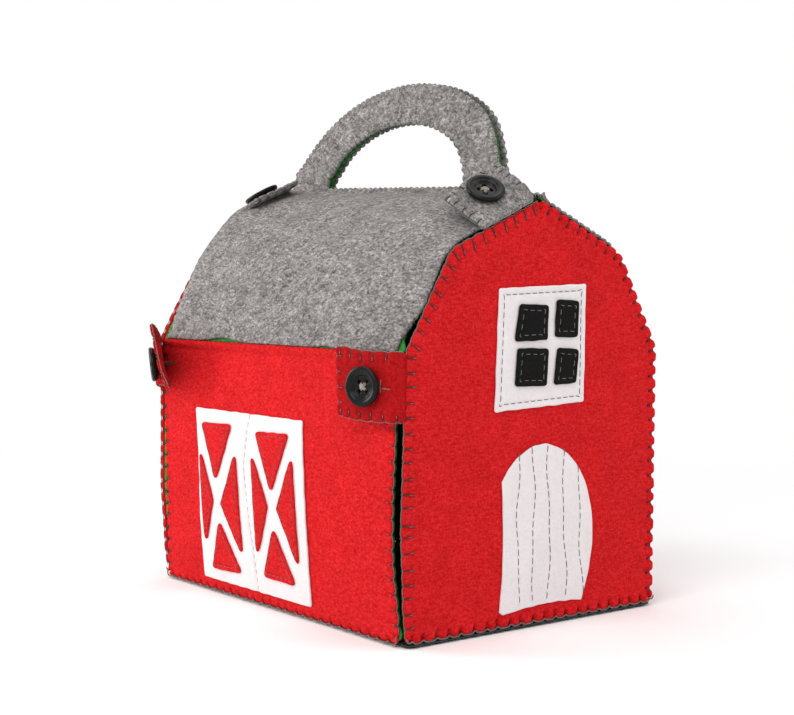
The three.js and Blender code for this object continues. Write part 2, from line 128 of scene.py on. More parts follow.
def rounded(corners, radii, steps=7):
    """Closed outline through the corners, each one rounded by a parabola that starts and ends
    radius * tan(half the turn) from it."""
    corners = np.asarray(corners, float)
    out = []
    for i, (corner, radius) in enumerate(zip(corners, np.broadcast_to(radii, len(corners)))):
        before, after = unit(corners[i - 1] - corner), unit(corners[(i + 1) % len(corners)] - corner)
        back = radius * np.tan((pi - np.arccos(np.clip(before @ after, -1, 1))) / 2)
        t = np.linspace(0, 1, steps)[:, None]
        out.append(curve(corner + before * back, corner, corner + after * back, t))
    return np.vstack(out)


def rectangle(x, y, width, height):
    """Corners of a rectangle about (x, y), anticlockwise from the lower left."""
    return [(x + i * width / 2, y + j * height / 2) for i, j in ((-1, -1), (1, -1), (1, 1), (-1, 1))]


def ringed(loop):
    """A loop with its first point again at its end."""
    return np.vstack([loop, loop[:1]])


def run_of(line):
    """Arc length from the first point to each point of a line."""
    return np.concatenate([[0], np.cumsum(np.linalg.norm(np.diff(line, axis=0), axis=1))])


def sampled(at, run, line):
    """Values of a line's columns at arc lengths."""
    return np.stack([np.interp(at, run, column) for column in line.T], axis=1)


def walked(line, count, closed=True):
    """A line walked at count equal steps of its arc length."""
    line = ringed(line) if closed else line
    run = run_of(line)
    return sampled(np.linspace(0, run[-1], count, endpoint=not closed), run, line)


def spaced(loop, step):
    """A closed outline walked at equal steps, as near to step as fits a whole number of times."""
    return walked(loop, max(8, int(round(run_of(ringed(loop))[-1] / step))))


def inward(loop):
    """Unit normal towards the inside at each point of an anticlockwise loop: the direction to the
    next point less the one before, turned left."""
    along = unit(np.roll(loop, -1, axis=0) - np.roll(loop, 1, axis=0))
    return np.stack([-along[:, 1], along[:, 0]], axis=1)


def inner_line(loop, hem, centre):
    """The outline moved towards a centre until it is hem from the edge."""
    height = np.maximum(((centre - loop) * inward(loop)).sum(axis=1), 1)
    return loop + (centre - loop) * (hem / height)[:, None]


def turn_sum(x, y):
    """Twice the area of closed outlines along the last axis: the sum of x_i y_(i+1) - x_(i+1) y_i,
    positive where they run anticlockwise."""
    return (x * np.roll(y, -1, axis=-1) - np.roll(x, -1, axis=-1) * y).sum(axis=-1)


def shoelace(loop):
    """Area of a closed outline."""
    return abs(turn_sum(*loop.T)) / 2


def anticlockwise(loop):
    """A closed outline turned round where it runs clockwise."""
    return loop if turn_sum(*loop.T) > 0 else loop[::-1]


def distance_to(flat, line):
    """Shortest distance from each point to a polyline: for each segment, the point is projected
    onto it and the projection kept between the segment's ends."""
    start, step = line[:-1], np.diff(line, axis=0)
    best = np.full(len(flat), 1e9)
    for part in np.array_split(np.arange(len(flat)), max(1, len(flat) * len(start) // 2000000)):
        gap = flat[part, None] - start[None]
        along = np.clip((gap * step).sum(axis=2) / np.maximum((step * step).sum(axis=1), 1e-9), 0, 1)
        best[part] = np.linalg.norm(gap - along[..., None] * step, axis=2).min(axis=1)
    return best


# Flat patterns: points, quads, distance to the edge, and the numbers of the rim's points


def numbered(*shape):
    """A grid of point numbers, row by row."""
    return np.arange(np.prod(shape)).reshape(shape)


def cells(index):
    """Quads between neighbouring rows of a grid of numbers, whose last column joins its first."""
    beside = np.roll(index, -1, axis=-1)
    corners = index[..., :-1, :], beside[..., :-1, :], beside[..., 1:, :], index[..., 1:, :]
    return np.stack(corners, axis=-1).reshape(-1, 4)


def star_pattern(loop, centre, insets, inner_rings):
    """Rings from the edge to one middle point. A point is edge + (centre - edge) * share, where
    share is inset / (distance from the centre to the edge's tangent) near the edge, and runs evenly
    on to 1 further in."""
    centre = np.asarray(centre, float)
    height = np.maximum(((centre - loop) * inward(loop)).sum(axis=1), 1)
    near = np.minimum(np.asarray(insets, float)[:, None] / height, 0.9)
    steps = np.arange(1, inner_rings)[:, None] / inner_rings
    share = np.vstack([near, near[-1] + (1 - near[-1]) * steps])
    points = loop + (centre - loop) * share[..., None]
    index = numbered(*share.shape)
    middle = np.full(len(loop), share.size)
    fan = np.stack([index[-1], np.roll(index[-1], -1), middle, middle], axis=1)
    edge = np.append((share * height).reshape(-1), height.min())
    return np.vstack([points.reshape(-1, 2), centre]), np.vstack([cells(index), fan]), edge, index[0]


def slot_pattern(loop, hole, rings):
    """Rings from the outer edge to the edge of a slit: point = edge * (1 - s) + slit * s, with s
    crowded towards both."""
    s = (1 - np.cos(np.linspace(0, pi, rings)))[:, None, None] / 2
    points = loop * (1 - s) + hole * s
    index = numbered(*points.shape[:2])
    flat, rim = points.reshape(-1, 2), np.concatenate([index[0], index[-1]])
    edge = np.minimum(distance_to(flat, ringed(loop)), distance_to(flat, ringed(hole)))
    edge[rim] = 0
    return flat, cells(index), edge, rim


def merged(parts):
    """Several sets of points and faces as one."""
    starts = np.cumsum([0] + [len(points) for points, _ in parts])
    faces = [np.asarray(quads) + start for (_, quads), start in zip(parts, starts)]
    return np.vstack([points for points, _ in parts]), np.vstack(faces)


def welded(points, faces):
    """The same faces on points of which those that coincide, to a micrometre, are one."""
    _, first, inverse = np.unique(np.round(points, 3), axis=0, return_index=True, return_inverse=True)
    return points[first], inverse.reshape(-1)[faces]


# Meshes


def slumped(points):
    """The far end as the soft barn stands: y grows by 6 s(y; 40, 112) s(z; 60, 200)
    (1 - s(z; 214, 236)), and x falls by 2 s(y; 50, 112) s(-x; 30, 86) sin(pi z / 200)."""
    x, y, z = np.asarray(points, float).T
    out = 6.0 * smooth(y, 40, 112) * smooth(z, 60, 200) * (1 - smooth(z, 214, 236))
    aside = 2.0 * smooth(y, 50, 112) * smooth(-x, 30, 86) * np.sin(pi * np.clip(z / 200, 0, 1))
    return np.stack([x - aside, y + out, z], axis=1)


def make_mesh(name, points, faces, material):
    """A mesh object from points in millimetres, slumped at the far end, and faces of four corners,
    of which the last two are the same in a triangle."""
    points = slumped(points)
    mesh = bpy.data.meshes.new(name)
    lone = faces[:, 2] == faces[:, 3]
    corners = np.concatenate([faces[~lone].reshape(-1), faces[lone][:, :3].reshape(-1)])
    sizes = np.concatenate([np.full((~lone).sum(), 4), np.full(lone.sum(), 3)])
    mesh.vertices.add(len(points))
    mesh.vertices.foreach_set("co", (points * MM).astype(np.float32).ravel())
    mesh.loops.add(len(corners))
    mesh.loops.foreach_set("vertex_index", corners.astype(np.int32))
    mesh.polygons.add(len(sizes))
    mesh.polygons.foreach_set("loop_start", np.concatenate([[0], np.cumsum(sizes)[:-1]]).astype(np.int32))
    mesh.polygons.foreach_set("use_smooth", np.full(len(sizes), True))
    mesh.update(calc_edges=True)
    mesh.validate()
    mesh.materials.append(material)
    obj = bpy.data.objects.new(name, mesh)
    bpy.context.scene.collection.objects.link(obj)
    return obj


def dress(obj, body, *nodes, root=None):
    """Rides a piece on its body; given root points, it only bakes the piece's transform into its mesh
    and leaves it unattached. Either way it hides the nodes that it stands for."""
    if root is None:
        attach(obj, body)
    else:
        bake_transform(obj)
    if nodes:
        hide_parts(*nodes)
    return obj


def felt_mesh(name, pattern, front, back, place, material):
    """A felt: its front at height front and its back at height back over the flat points of its
    pattern (points, quads, rim), joined along the rim, which they share at the mean of both."""
    flat, quads, rim = pattern
    on_rim = np.zeros(len(flat), bool)
    on_rim[rim] = True
    upper = place(flat, np.where(on_rim, (front + back) / 2, front))
    lower = place(flat[~on_rim], back[~on_rim])
    under = np.arange(len(flat))
    under[~on_rim] = len(flat) + np.arange((~on_rim).sum())
    flipped = under[quads][:, [1, 0, 3, 2]]
    lone = quads[:, 2] == quads[:, 3]
    flipped[lone] = under[quads[lone]][:, [1, 0, 2, 2]]
    return make_mesh(name, np.vstack([upper, lower]), np.vstack([quads, flipped]), material)


def bulb(edge, thick, reach=0.62):
    """Half the felt's thickness at a distance from its cut edge: a quarter ellipse that is full at
    reach * thick from the edge."""
    t = np.clip(edge / (thick * reach), 0, 1)
    return thick / 2 * np.sqrt(1 - (1 - t) ** 2)


def sewn_edge(centre_depth, rim_depth, bend=6.5):
    """Depth of a felt's middle over the distance to its edge: rim_depth at the cut edge, easing to
    centre_depth at bend from it."""
    return lambda edge: rim_depth + (centre_depth - rim_depth) * smooth(edge, 0, bend)


def skin(middle, thick, way, sunk, inset=0.0, share=0.75):
    """Where threads lie on a felt's face, over the distance to its edge: its middle's depth, and to
    the face's side that share of half its thickness, less what they sink."""
    return lambda edge: middle(edge) + way * (bulb(np.maximum(edge - inset, 0), thick) * share - sunk)


def above(swell, rise):
    """A swell raised by a fixed height."""
    return lambda flat: swell(flat) + rise


# Stitches


def stitch_places(loop, seed, style, scatter=0.1, keep=None):
    """Stitches along a closed loop: the point and inward normal at arc lengths
    (k + 1/2 + scatter) * pitch, and the leg, depth, draw and puff of their style."""
    rng = np.random.default_rng(seed)
    run = run_of(ringed(loop))
    count = max(4, int(round(run[-1] / style["pitch"])))
    at = (np.arange(count) + 0.5 + rng.uniform(-scatter, scatter, count)) * run[-1] / count
    point, normal = sampled(at, run, ringed(loop)), sampled(at, run, ringed(inward(loop)))
    normal += rng.uniform(-0.12, 0.12, (count, 1)) * np.stack([-normal[:, 1], normal[:, 0]], axis=1)
    kept = np.ones(count, bool) if keep is None else keep(point)
    made = {"at": point[kept], "in": unit(normal)[kept]}
    for key, low, high in (("leg", 0.82, 1.16), ("depth", 0.8, 1.15), ("draw", 0.8, 1.15), ("puff", 0.8, 1.15)):
        made[key] = (style[key] * rng.uniform(low, high, count))[kept]
    return made


def joined(*sets):
    """Several sets of stitches as one."""
    return {key: np.concatenate([some[key] for some in sets]) for key in sets[0]}


def pucker(flat, stitches, wide=1.15, hold=2.6):
    """(groove, puff, pull) at each flat point: groove is the largest over the stitches of
    depth * h(sideways; 0, wide), faded out past the leg's end, puff is that of the nearest stitch,
    gone under the stitch itself, and pull is the inward vector of length draw that fades within
    hold of the edge."""
    groove, puff, pull = np.zeros(len(flat)), np.zeros(len(flat)), np.zeros((len(flat), 2))
    inwards = stitches["in"][None]
    for part in np.array_split(np.arange(len(flat)), max(1, len(flat) // 3000)):
        gap = flat[part, None, :] - stitches["at"][None]
        deep = (gap * inwards).sum(axis=2)
        side = gap[..., 0] * inwards[..., 1] - gap[..., 1] * inwards[..., 0]
        near = hill(side, 0, wide) * (deep > -2) * (deep < 14)
        under = near * (1 - smooth(deep / stitches["leg"][None], 0.85, 1.35))
        groove[part] = (under * stitches["depth"]).max(axis=1)
        puff[part] = stitches["puff"][(gap**2).sum(axis=2).argmin(axis=1)] * (1 - under.max(axis=1))
        share = (near * (1 - smooth(deep, 0.2, hold)) * stitches["draw"])[..., None] * inwards
        pull[part] = share.max(axis=1, initial=0) + share.min(axis=1, initial=0)
    return groove, puff, pull


def rings(path, along, helper, wide, sides):
    """Rings of that radius square to paths, turned by the helper directions:
    path + wide * (across cos a + up sin a)."""
    across = unit(np.cross(along, helper))
    up = np.cross(along, across)
    turn = np.arange(sides) * 2 * pi / sides
    ring = np.cos(turn)[:, None] * across[..., None, :] + np.sin(turn)[:, None] * up[..., None, :]
    return path[..., None, :] + ring * wide[:, None, None]


def tube(path, radius, closed=False, helper=None, sides=5):
    """Points and quads of a thread: a ring about each path point; the ends are drawn to their
    middle."""
    along = np.roll(path, -1, axis=0) - np.roll(path, 1, axis=0) if closed else np.gradient(path, axis=0)
    along = unit(along)
    if helper is None:
        helper = np.eye(3)[np.abs(along).mean(axis=0).argmin()]
    wide = np.full(len(path), radius)
    if not closed:
        wide[[0, -1]] *= 0.35
    points = rings(path, along, helper, wide, sides).reshape(-1, 3)
    index = numbered(len(path), sides)
    if closed:
        return points, cells(ringed(index))
    caps = []
    for end, way in ((index[0], -1), (index[-1], 1)):
        middle = np.full(sides, len(points))
        points = np.vstack([points, points[end].mean(axis=0)])
        caps.append(np.stack([*[end, np.roll(end, -1)][::way], middle, middle], axis=1))
    return points, np.vstack([cells(index), *caps])


def tubes(paths, radius, sides=5):
    """Many open threads of equal point counts at once, closed by flat ends."""
    along = unit(np.gradient(paths, axis=1))
    spread = along.std(axis=1) + np.abs(along.mean(axis=1))
    wide = np.full(paths.shape[1], radius)
    wide[[0, -1]] *= 0.4
    points = rings(paths, along, np.eye(3)[spread.argmin(axis=1)][:, None], wide, sides)
    index = numbered(*points.shape[:3])
    caps = []
    for order in (index[:, 0, ::-1], index[:, -1]):
        caps += [order[:, :4], order[:, [0, 3, 4, 4]]]
    return points.reshape(-1, 3), np.vstack([cells(index), *caps])


def sewn(name, parts, material, body, root=None):
    """One thread piece from several sets of tubes, moving with what it is sewn to unless root points are given, when
    it is only baked in place.
    """
    return dress(make_mesh(name, *merged(parts), material), body, root=root)


def thread_legs(place, stitches, front, back, swell, radius):
    """Blanket-stitch legs: each runs from its end on the back, round the drawn-in edge, to its end
    on the front, over the felt's surface by part of its radius, and dips into the felt at both
    ends."""
    reach = np.array([1.0, 0.8, 0.45, 0.16, 0.0, 0.16, 0.45, 0.8, 1.0])
    over = np.array([-1, -1, -1, -1, 0, 1, 1, 1, 1])
    leg, pull = stitches["leg"][:, None], stitches["draw"][:, None]
    deep = pull + reach * (leg - pull)
    deep[:, 4] = pull[:, 0] - radius
    flat = (stitches["at"][:, None] + stitches["in"][:, None] * deep[..., None]).reshape(-1, 2)
    rise = np.array([-0.5, 0.35, 0.5, 0.4, 0, 0.4, 0.5, 0.35, -0.5]) * radius / 0.4
    top, under = front(deep - pull), back(deep - pull)
    height = np.where(over > 0, top + rise, np.where(over < 0, under - rise, (top + under) / 2))
    return tubes(place(flat, height.reshape(-1) + swell(flat)).reshape(len(leg), 9, 3), radius)


def strands(place, stitches, front, swell, radius=0.2, start=0.36, end=0.84, rise=0.62):
    """A strand along each leg, over the felt by the rise, from one share of the leg's length to
    another: the pale strand of the thread over the middle of a blanket-stitch leg, whose dark tube beneath is painted
    shade at its ends, or a short stitch sunk into its dimple."""
    leg, pull = stitches["leg"][:, None], stitches["draw"][:, None]
    deep = pull + np.linspace(start, end, 5) * (leg - pull)
    flat = (stitches["at"][:, None] + stitches["in"][:, None] * deep[..., None]).reshape(-1, 2)
    height = front(deep - pull) + rise - np.array([0.57, 0.12, 0.0, 0.12, 0.57])
    return tubes(place(flat, height.reshape(-1) + swell(flat)).reshape(len(leg), 5, 3), radius)


def edge_thread(place, loop, stitches, height, swell, radius, outside=0.3, keep=None):
    """The thread that runs along the cut edge from one leg to the next, lying just outside the edge
    and drawn in with it, round the whole loop or along the one run of points that is kept."""
    drawn = pucker(loop, stitches)[2] if stitches else 0
    flat = loop + drawn - inward(loop) * outside
    if keep is not None:
        kept = keep(loop)
        first = np.flatnonzero(kept & ~np.roll(kept, 1))[0]
        flat = np.roll(flat, -first, axis=0)[: kept.sum()]
    height = height + 0.12 * np.sin(np.arange(len(flat)) * 2.1) + swell(flat)
    path = place(flat, height)
    return tube(path, radius, closed=keep is None, helper=place(flat, height + 1) - path)


def running_stitch(line, place, height, stitch, gap, radius=FINE_THREAD_RADIUS, closed=False):
    """Dashes of thread along a line: each starts and ends in the felt and arches over its surface."""
    length = run_of(ringed(line) if closed else line)[-1]
    count = max(3, int(length / (stitch + gap)))
    fine = walked(line, count * 24 + (0 if closed else 1), closed)
    keep = int(round(24 * stitch / (stitch + gap)))
    index = np.arange(count)[:, None] * 24 + np.linspace(0, keep, 6).astype(int)
    flat = fine[np.minimum(index, len(fine) - 1)].reshape(-1, 2)
    arch = np.tile(np.array([-0.35, 0.06, 0.16, 0.16, 0.06, -0.35]), count)
    return tubes(place(flat, height(flat) + arch).reshape(count, 6, 3), radius)


def hem_stitch(loop, step, hem, centre, place, height, stitch, gap):
    """A running stitch round a patch, at the hem distance from its edge."""
    return running_stitch(inner_line(spaced(loop, step), hem, centre), place, height, stitch, gap, closed=True)


# Materials


def plug(tree, node, inputs):
    """Sets a node's inputs, each to a value or to another node's output."""
    for key, value in inputs.items():
        if hasattr(value, "is_output"):
            tree.links.new(value, node.inputs[key])
        else:
            node.inputs[key].default_value = value


def shader_node(tree, kind, inputs, **settings):
    """A new node with its settings and inputs."""
    node = tree.nodes.new(f"ShaderNode{kind}")
    for key, value in settings.items():
        setattr(node, key, value)
    plug(tree, node, inputs)
    return node


def new_material(name):
    """A material, its tree, its surface shader and the object coordinates in it."""
    material = bpy.data.materials.new(name)
    material.use_nodes = True
    tree = material.node_tree
    spot = shader_node(tree, "TexCoord", {}).outputs["Object"]
    return material, tree, tree.nodes["Principled BSDF"], spot


def noise(tree, spot, scale, detail=4.0, roughness=0.6, stretch=None, distortion=0.0):
    """A noise texture on object coordinates, stretched along the axes where its fibres lie."""
    if stretch:
        inputs = {"Vector": spot, "Scale": stretch[0], "Rotation": stretch[1]}
        spot = shader_node(tree, "Mapping", inputs).outputs["Vector"]
    inputs = {"Vector": spot, "Scale": scale, "Detail": detail, "Roughness": roughness, "Distortion": distortion}
    return shader_node(tree, "TexNoise", inputs).outputs["Fac"]


def ramp(tree, value, *stops):
    """Colours at places from 0 to 1 along a value."""
    node = shader_node(tree, "ValToRGB", {"Fac": value})
    elements = node.color_ramp.elements
    while len(elements) < len(stops):
        elements.new(0.5)
    for element, (place, colour) in zip(elements, stops):
        element.position, element.color = place, (*colour, 1)
    return node.outputs["Color"]


def mixed(tree, how, share, first, second):
    """Two colours blended, the second by its share."""
    inputs = {"Factor": share, "A": first, "B": second}
    return shader_node(tree, "Mix", inputs, data_type="RGBA", blend_type=how).outputs["Result"]


def bumped(tree, height, strength, distance, **below):
    """Bumps from a height, on top of any normal below."""
    inputs = {"Strength": strength, "Distance": distance, "Height": height, **below}
    return shader_node(tree, "Bump", inputs).outputs["Normal"]


def tint(colour, amount):
    """A colour made darker or paler by a factor."""
    return tuple(c * amount for c in colour)


def even(value):
    """A grey of that value."""
    return value, value, value


def felt_material(name, colour, contrast, patch, sheen, heather=0.0, pale=0.0):
    """Wool felt: short crossed fibres light and dark, soft patches where the nap lies differently,
    a fuzz sheen, and bumps of tangled fibre. Its light fibres are paler by pale, and its dark ones
    deeper. A heather felt also has longer flecks and smudges of its dark and pale wool."""
    material, tree, shader, spot = new_material(name)
    one_way = noise(tree, spot, 1150, 3.0, 0.65, ((1, 0.35, 0.6), (0.3, 0.5, 0.9)), 0.6)
    other_way = noise(tree, spot, 1000, 3.0, 0.65, ((0.35, 0.6, 1), (-0.7, 0.2, -0.5)), 0.6)
    dark, light = (tuple(max(0.0, c * (1 + way * contrast) + way * pale) for c in colour) for way in (-1, 1))
    first = ramp(tree, one_way, (0.34, dark), (0.5, colour), (0.66, light))
    second = ramp(tree, other_way, (0.36, dark), (0.5, colour), (0.64, light))
    shade = mixed(tree, "MIX", 0.5, first, second)
    patches = [(noise(tree, spot, 75, 3.0, 0.55), (0.3, even(1 - patch)), (0.7, even(1)))]
    if heather:
        flecks = noise(tree, spot, 900, 4.0, 0.75, ((1, 0.22, 0.3), (0.9, 0.2, 0.5)), 1.2)
        smudges = noise(tree, spot, 240, 3.0, 0.6, ((1, 0.45, 0.6), (0.5, 0.4, 0.7)), 1.0)
        patches += [
            (flecks, (0.36, even(1 - heather)), (0.5, even(0.95)), (0.62, even(1 + heather * 0.8))),
            (smudges, (0.32, even(1 - heather * 0.5)), (0.55, even(1))),
        ]
    for stops in patches:
        shade = mixed(tree, "MULTIPLY", 1.0, shade, ramp(tree, *stops))
    tangle = bumped(tree, noise(tree, spot, 480, 4.0, 0.7), 0.45, 0.0005)
    plug(tree, shader, {
        "Base Color": shade, "Roughness": 0.95, "Specular IOR Level": 0.12, "Sheen Weight": sheen,
        "Sheen Roughness": 0.45, "Sheen Tint": (*tint(colour, 1.4), 1),
        "Normal": bumped(tree, one_way, 0.5, 0.00035, Normal=tangle),
    })
    return material


def thread_material(name, colour):
    """Cotton floss: fine bands of its twist as bumps, and in its colour a painted highlight on the crowns and painted
    shade between.
    """
    material, tree, shader, spot = new_material(name)
    twist_and_shade = noise(tree, spot, 2400, 2.0, 0.5, ((1, 1, 1), (0, 0, 0)))
    plug(tree, shader, {
        # Painted highlight and painted shade of the twist in the base colour.
        "Base Color": ramp(tree, twist_and_shade, (0.35, tint(colour, 0.55)), (0.65, tint(colour, 1.35))),
        "Roughness": 0.8, "Sheen Weight": 0.08, "Normal": bumped(tree, twist_and_shade, 0.5, 0.0001),
    })
    return material


def button_material():
    """Black polyester: a satin gloss with faint swirls in the cast and fine scuffs."""
    material, tree, shader, spot = new_material("black_button_plastic")
    swirl, scuffs = noise(tree, spot, 160, 4.0, 0.6, distortion=1.5), noise(tree, spot, 1500, 3.0, 0.7)
    plug(tree, shader, {
        "Base Color": ramp(tree, swirl, (0.3, (0.004, 0.004, 0.004)), (0.7, (0.01, 0.0095, 0.009))),
        "Roughness": 0.2, "Specular IOR Level": 0.13, "Normal": bumped(tree, scuffs, 0.12, 0.0001),
    })
    return material


def board_material():
    """Stiffening board: matt off-white with pressed fibres."""
    material, tree, shader, spot = new_material("stiffening_board")
    fibres = noise(tree, spot, 500, 5.0, 0.7)
    plug(tree, shader, {
        "Base Color": ramp(tree, fibres, (0.3, (0.68, 0.65, 0.57)), (0.7, (0.86, 0.84, 0.77))),
        "Roughness": 0.75, "Normal": bumped(tree, fibres, 0.3, 0.0002),
    })
    return material


RED = felt_material("barn_red_felt", (0.57, 0.0085, 0.0115), 0.22, 0.14, 0.12, pale=0.016)
# The tabs' red: the barn's red felt darkened as painted shade.
SHADED_TAB_RED = felt_material("tab_red_felt_with_painted_shade", (0.37, 0.004, 0.006), 0.2, 0.14, 0.1, pale=0.006)
WHITE = felt_material("white_felt", (0.75, 0.7, 0.7), 0.06, 0.05, 0.1)
BLACK = felt_material("black_felt", (0.0065, 0.0062, 0.006), 0.45, 0.2, 0.03)
GREY = felt_material("heather_grey_felt", (0.255, 0.237, 0.227), 0.75, 0.25, 0.14, heather=0.45)
SLATE = felt_material("slate_felt", (0.009, 0.009, 0.012), 0.5, 0.3, 0.03)
GREEN = felt_material("grass_green_felt", (0.04, 0.28, 0.05), 0.3, 0.12, 0.1)
BROWN_THREAD = thread_material("taupe_thread", (0.15, 0.108, 0.09))
# Dark brown thread of the seams, shanks and one wall end, also used as painted shade: the dark tube of each
# blanket-stitch leg stands for the shade at its two ends.
DARK_THREAD_AND_SHADE = thread_material("dark_brown_thread", (0.028, 0.014, 0.012))
TAB_THREAD = thread_material("rose_taupe_thread", (0.22, 0.14, 0.12))
BASE_THREAD = thread_material("slate_thread", (0.018, 0.017, 0.018))
GREY_THREAD = thread_material("grey_thread", (0.1, 0.1, 0.095))
PANE_THREAD = thread_material("olive_grey_thread", (0.14, 0.13, 0.1))
PALE_THREAD = thread_material("ecru_thread", (0.36, 0.33, 0.27))
BUTTON = button_material()
BOARD = board_material()


# Places in space


def side(turn, distance):
    """Place function of one upright side: X to the right and Y up as seen from outside, height
    outwards, its plane at that distance from the middle and turned about the barn's upright axis."""

    def place(flat, height):
        x, y = flat[:, 0], -(distance + height)
        return np.stack([x * cos(turn) - y * sin(turn), x * sin(turn) + y * cos(turn), flat[:, 1]], axis=1)

    return place


def in_side(turn, vector):
    """A direction (X, Y, Z) of one side as a direction in space."""
    x, y, z = vector[0], -vector[2], vector[1]
    return np.array([x * cos(turn) - y * sin(turn), x * sin(turn) + y * cos(turn), z])


# Felt pieces


NEAR_INSETS = (0, 0.12, 0.4, 0.8, 1.3, 2.0, 2.8, 3.7, 4.7, 6.0, 8.0, 11.0)
FEW_INSETS = (0, 0.15, 0.5, 1.0, 1.8, 3.0, 5.0, 8.0)


def panel(name, body, turn, distance, loop, centre, swell, seed, edges, relief=None, loose=None):
    """A stiffened side of the barn: red felt outside, the board, and green lining inside, drawn
    together at the sewn edge, with the thread of the stitches. Each of its edges is (where it runs,
    its style, its thread or None, its edge thread's radius, thread and depth or None). Loose gives
    how far the lining has slipped along X."""
    place = side(turn, distance)
    edge_loop = spaced(loop, 1.0)
    sets = [stitch_places(edge_loop, seed, style, keep=where) for where, style, _, _ in edges]
    stitches = joined(*sets)
    red, green = sewn_edge(-0.9, -1.15), sewn_edge(-4.7, -2.75)

    flat, quads, edge, rim = star_pattern(edge_loop, centre, NEAR_INSETS, 13)
    groove, puff, pull = pucker(flat, stitches)
    half = bulb(edge, FELT_THICK) * (1 - 0.2 * groove)
    puff = puff * hill(edge, 2.2, 2.2)
    lift = swell(flat)
    front = red(edge) + half - groove + puff + lift + (relief(flat) if relief else 0)
    outwards = -inward(edge_loop)[np.arange(len(flat)) % len(edge_loop)]
    moved = flat + pull + outwards * (0.45 * puff * np.exp(-edge / 1.5))[:, None]
    felt = felt_mesh(f"{name}_red_felt", (moved, quads, rim), front, red(edge) - half + lift, place, RED)
    dress(felt, body, f"{name}_felt")

    stiff_loop = inner_line(edge_loop, 4.6, np.asarray(centre, float))
    flat, quads, edge, rim = star_pattern(stiff_loop, centre, (0, 0.15, 0.5), 6)
    half = 0.75 * smooth(edge, 0, 0.15)
    board = felt_mesh(f"{name}_stiff_board", (flat, quads, rim), -2.85 + half, -2.85 - half, place, BOARD)
    dress(board, body, f"{name}_board")

    inner_loop = spaced(edge_loop + inward(edge_loop) * 1.3, 1.6)
    flat, quads, edge, rim = star_pattern(inner_loop, centre, FEW_INSETS, 10)
    groove, _, pull = pucker(flat, stitches, 1.4)
    half = bulb(edge, LINING_THICK) * (1 - 0.2 * groove)
    middle = green(edge) + 0.25 * waves(*flat.T, 45, seed + 7) * smooth(edge, 3, 20) - 0.2
    slipped = loose(flat) if loose else np.zeros(len(flat))
    moved = flat + pull + np.column_stack([slipped, np.zeros(len(flat))])
    front, back = middle + half + 0.3 * slipped, middle - half + 0.5 * groove + 0.3 * slipped
    lining = felt_mesh(f"{name}_green_lining", (moved, quads, rim), front, back, place, GREEN)
    dress(lining, body, f"{name}_lining")

    outer_skin, inner_skin = skin(red, FELT_THICK, 1, 0.4), skin(green, LINING_THICK, -1, 0.3, 0.5)
    threads = {}
    for (where, style, material, along), some in zip(edges, sets):
        if style in (SEAM_EDGE, WALL_SEAM):
            sunk = strands(place, some, outer_skin, swell, style["radius"], 0.3, 1.0, -0.25)
            threads.setdefault(material, []).append(sunk)
        elif style["radius"]:
            # Each blanket-stitch leg is a dark tube of painted shade at its ends, under a pale strand of the edge's
            # thread over its middle.
            legs = thread_legs(place, some, outer_skin, inner_skin, swell, style["radius"])
            threads.setdefault(DARK_THREAD_AND_SHADE, []).append(legs)
            threads.setdefault(material, []).append(strands(place, some, outer_skin, swell))
        if along:
            radius, material, depth = along
            thread = edge_thread(place, edge_loop, some, depth, swell, radius, keep=where)
            threads.setdefault(material, []).append(thread)
    pieces = [sewn(f"{name}_{key.name}_stitches", parts, key, body) for key, parts in threads.items()]
    return felt


def patch(name, place, loop, centre, base, thick, material, body, node, rests_on, step=0.8, hem=0, lines=(), seed=1):
    """A felt shape sewn flat on a side: a closed felt on the surface beneath it, pressed in along
    its running stitch at the hem distance from the edge and along any lines sewn across it."""
    edge_loop = spaced(loop, step)
    area = shoelace(edge_loop)
    reach = area / run_of(edge_loop)[-1]
    insets = [0, 0.1, 0.32, 0.65, 1.1]
    if hem:
        insets += [hem - 0.7, hem - 0.35, hem, hem + 0.35, hem + 0.7]
    insets = sorted({i for i in insets if i < 1.6 * reach})
    inner_rings = int(max(4, reach * 2 / (0.8 if lines else 2.5)))
    flat, quads, edge, rim = star_pattern(edge_loop, centre, insets, min(inner_rings, 44))
    dent = 0.34 * hill(edge, hem, 0.45) if hem else np.zeros(len(flat))
    for line, depth, wide in lines:
        dent = np.maximum(dent, depth * hill(distance_to(flat, line), 0, wide))
    wobble = 0.3 * waves(*edge_loop.T, 9, seed)[:, None] * inward(edge_loop)
    spread = np.tile(wobble, (len(flat) // len(edge_loop), 1))
    flat[: len(spread)] += spread * (1 - smooth(edge[: len(spread)], 0, 3))[:, None]
    half = bulb(edge, thick)
    middle = thick / 2 + 0.18 * waves(*flat.T, 16, seed + 3) * np.exp(-edge / 2.5) + base(flat)
    piece = felt_mesh(name, (flat, quads, rim), middle + half - dent, middle - half, place, material)
    dress(piece, body, node)
    return piece



def at_foot(point):
    """Along the sewn foot of a side."""
    return point[:, 1] <= SEAM_HEIGHT + 3.5


# The two gables


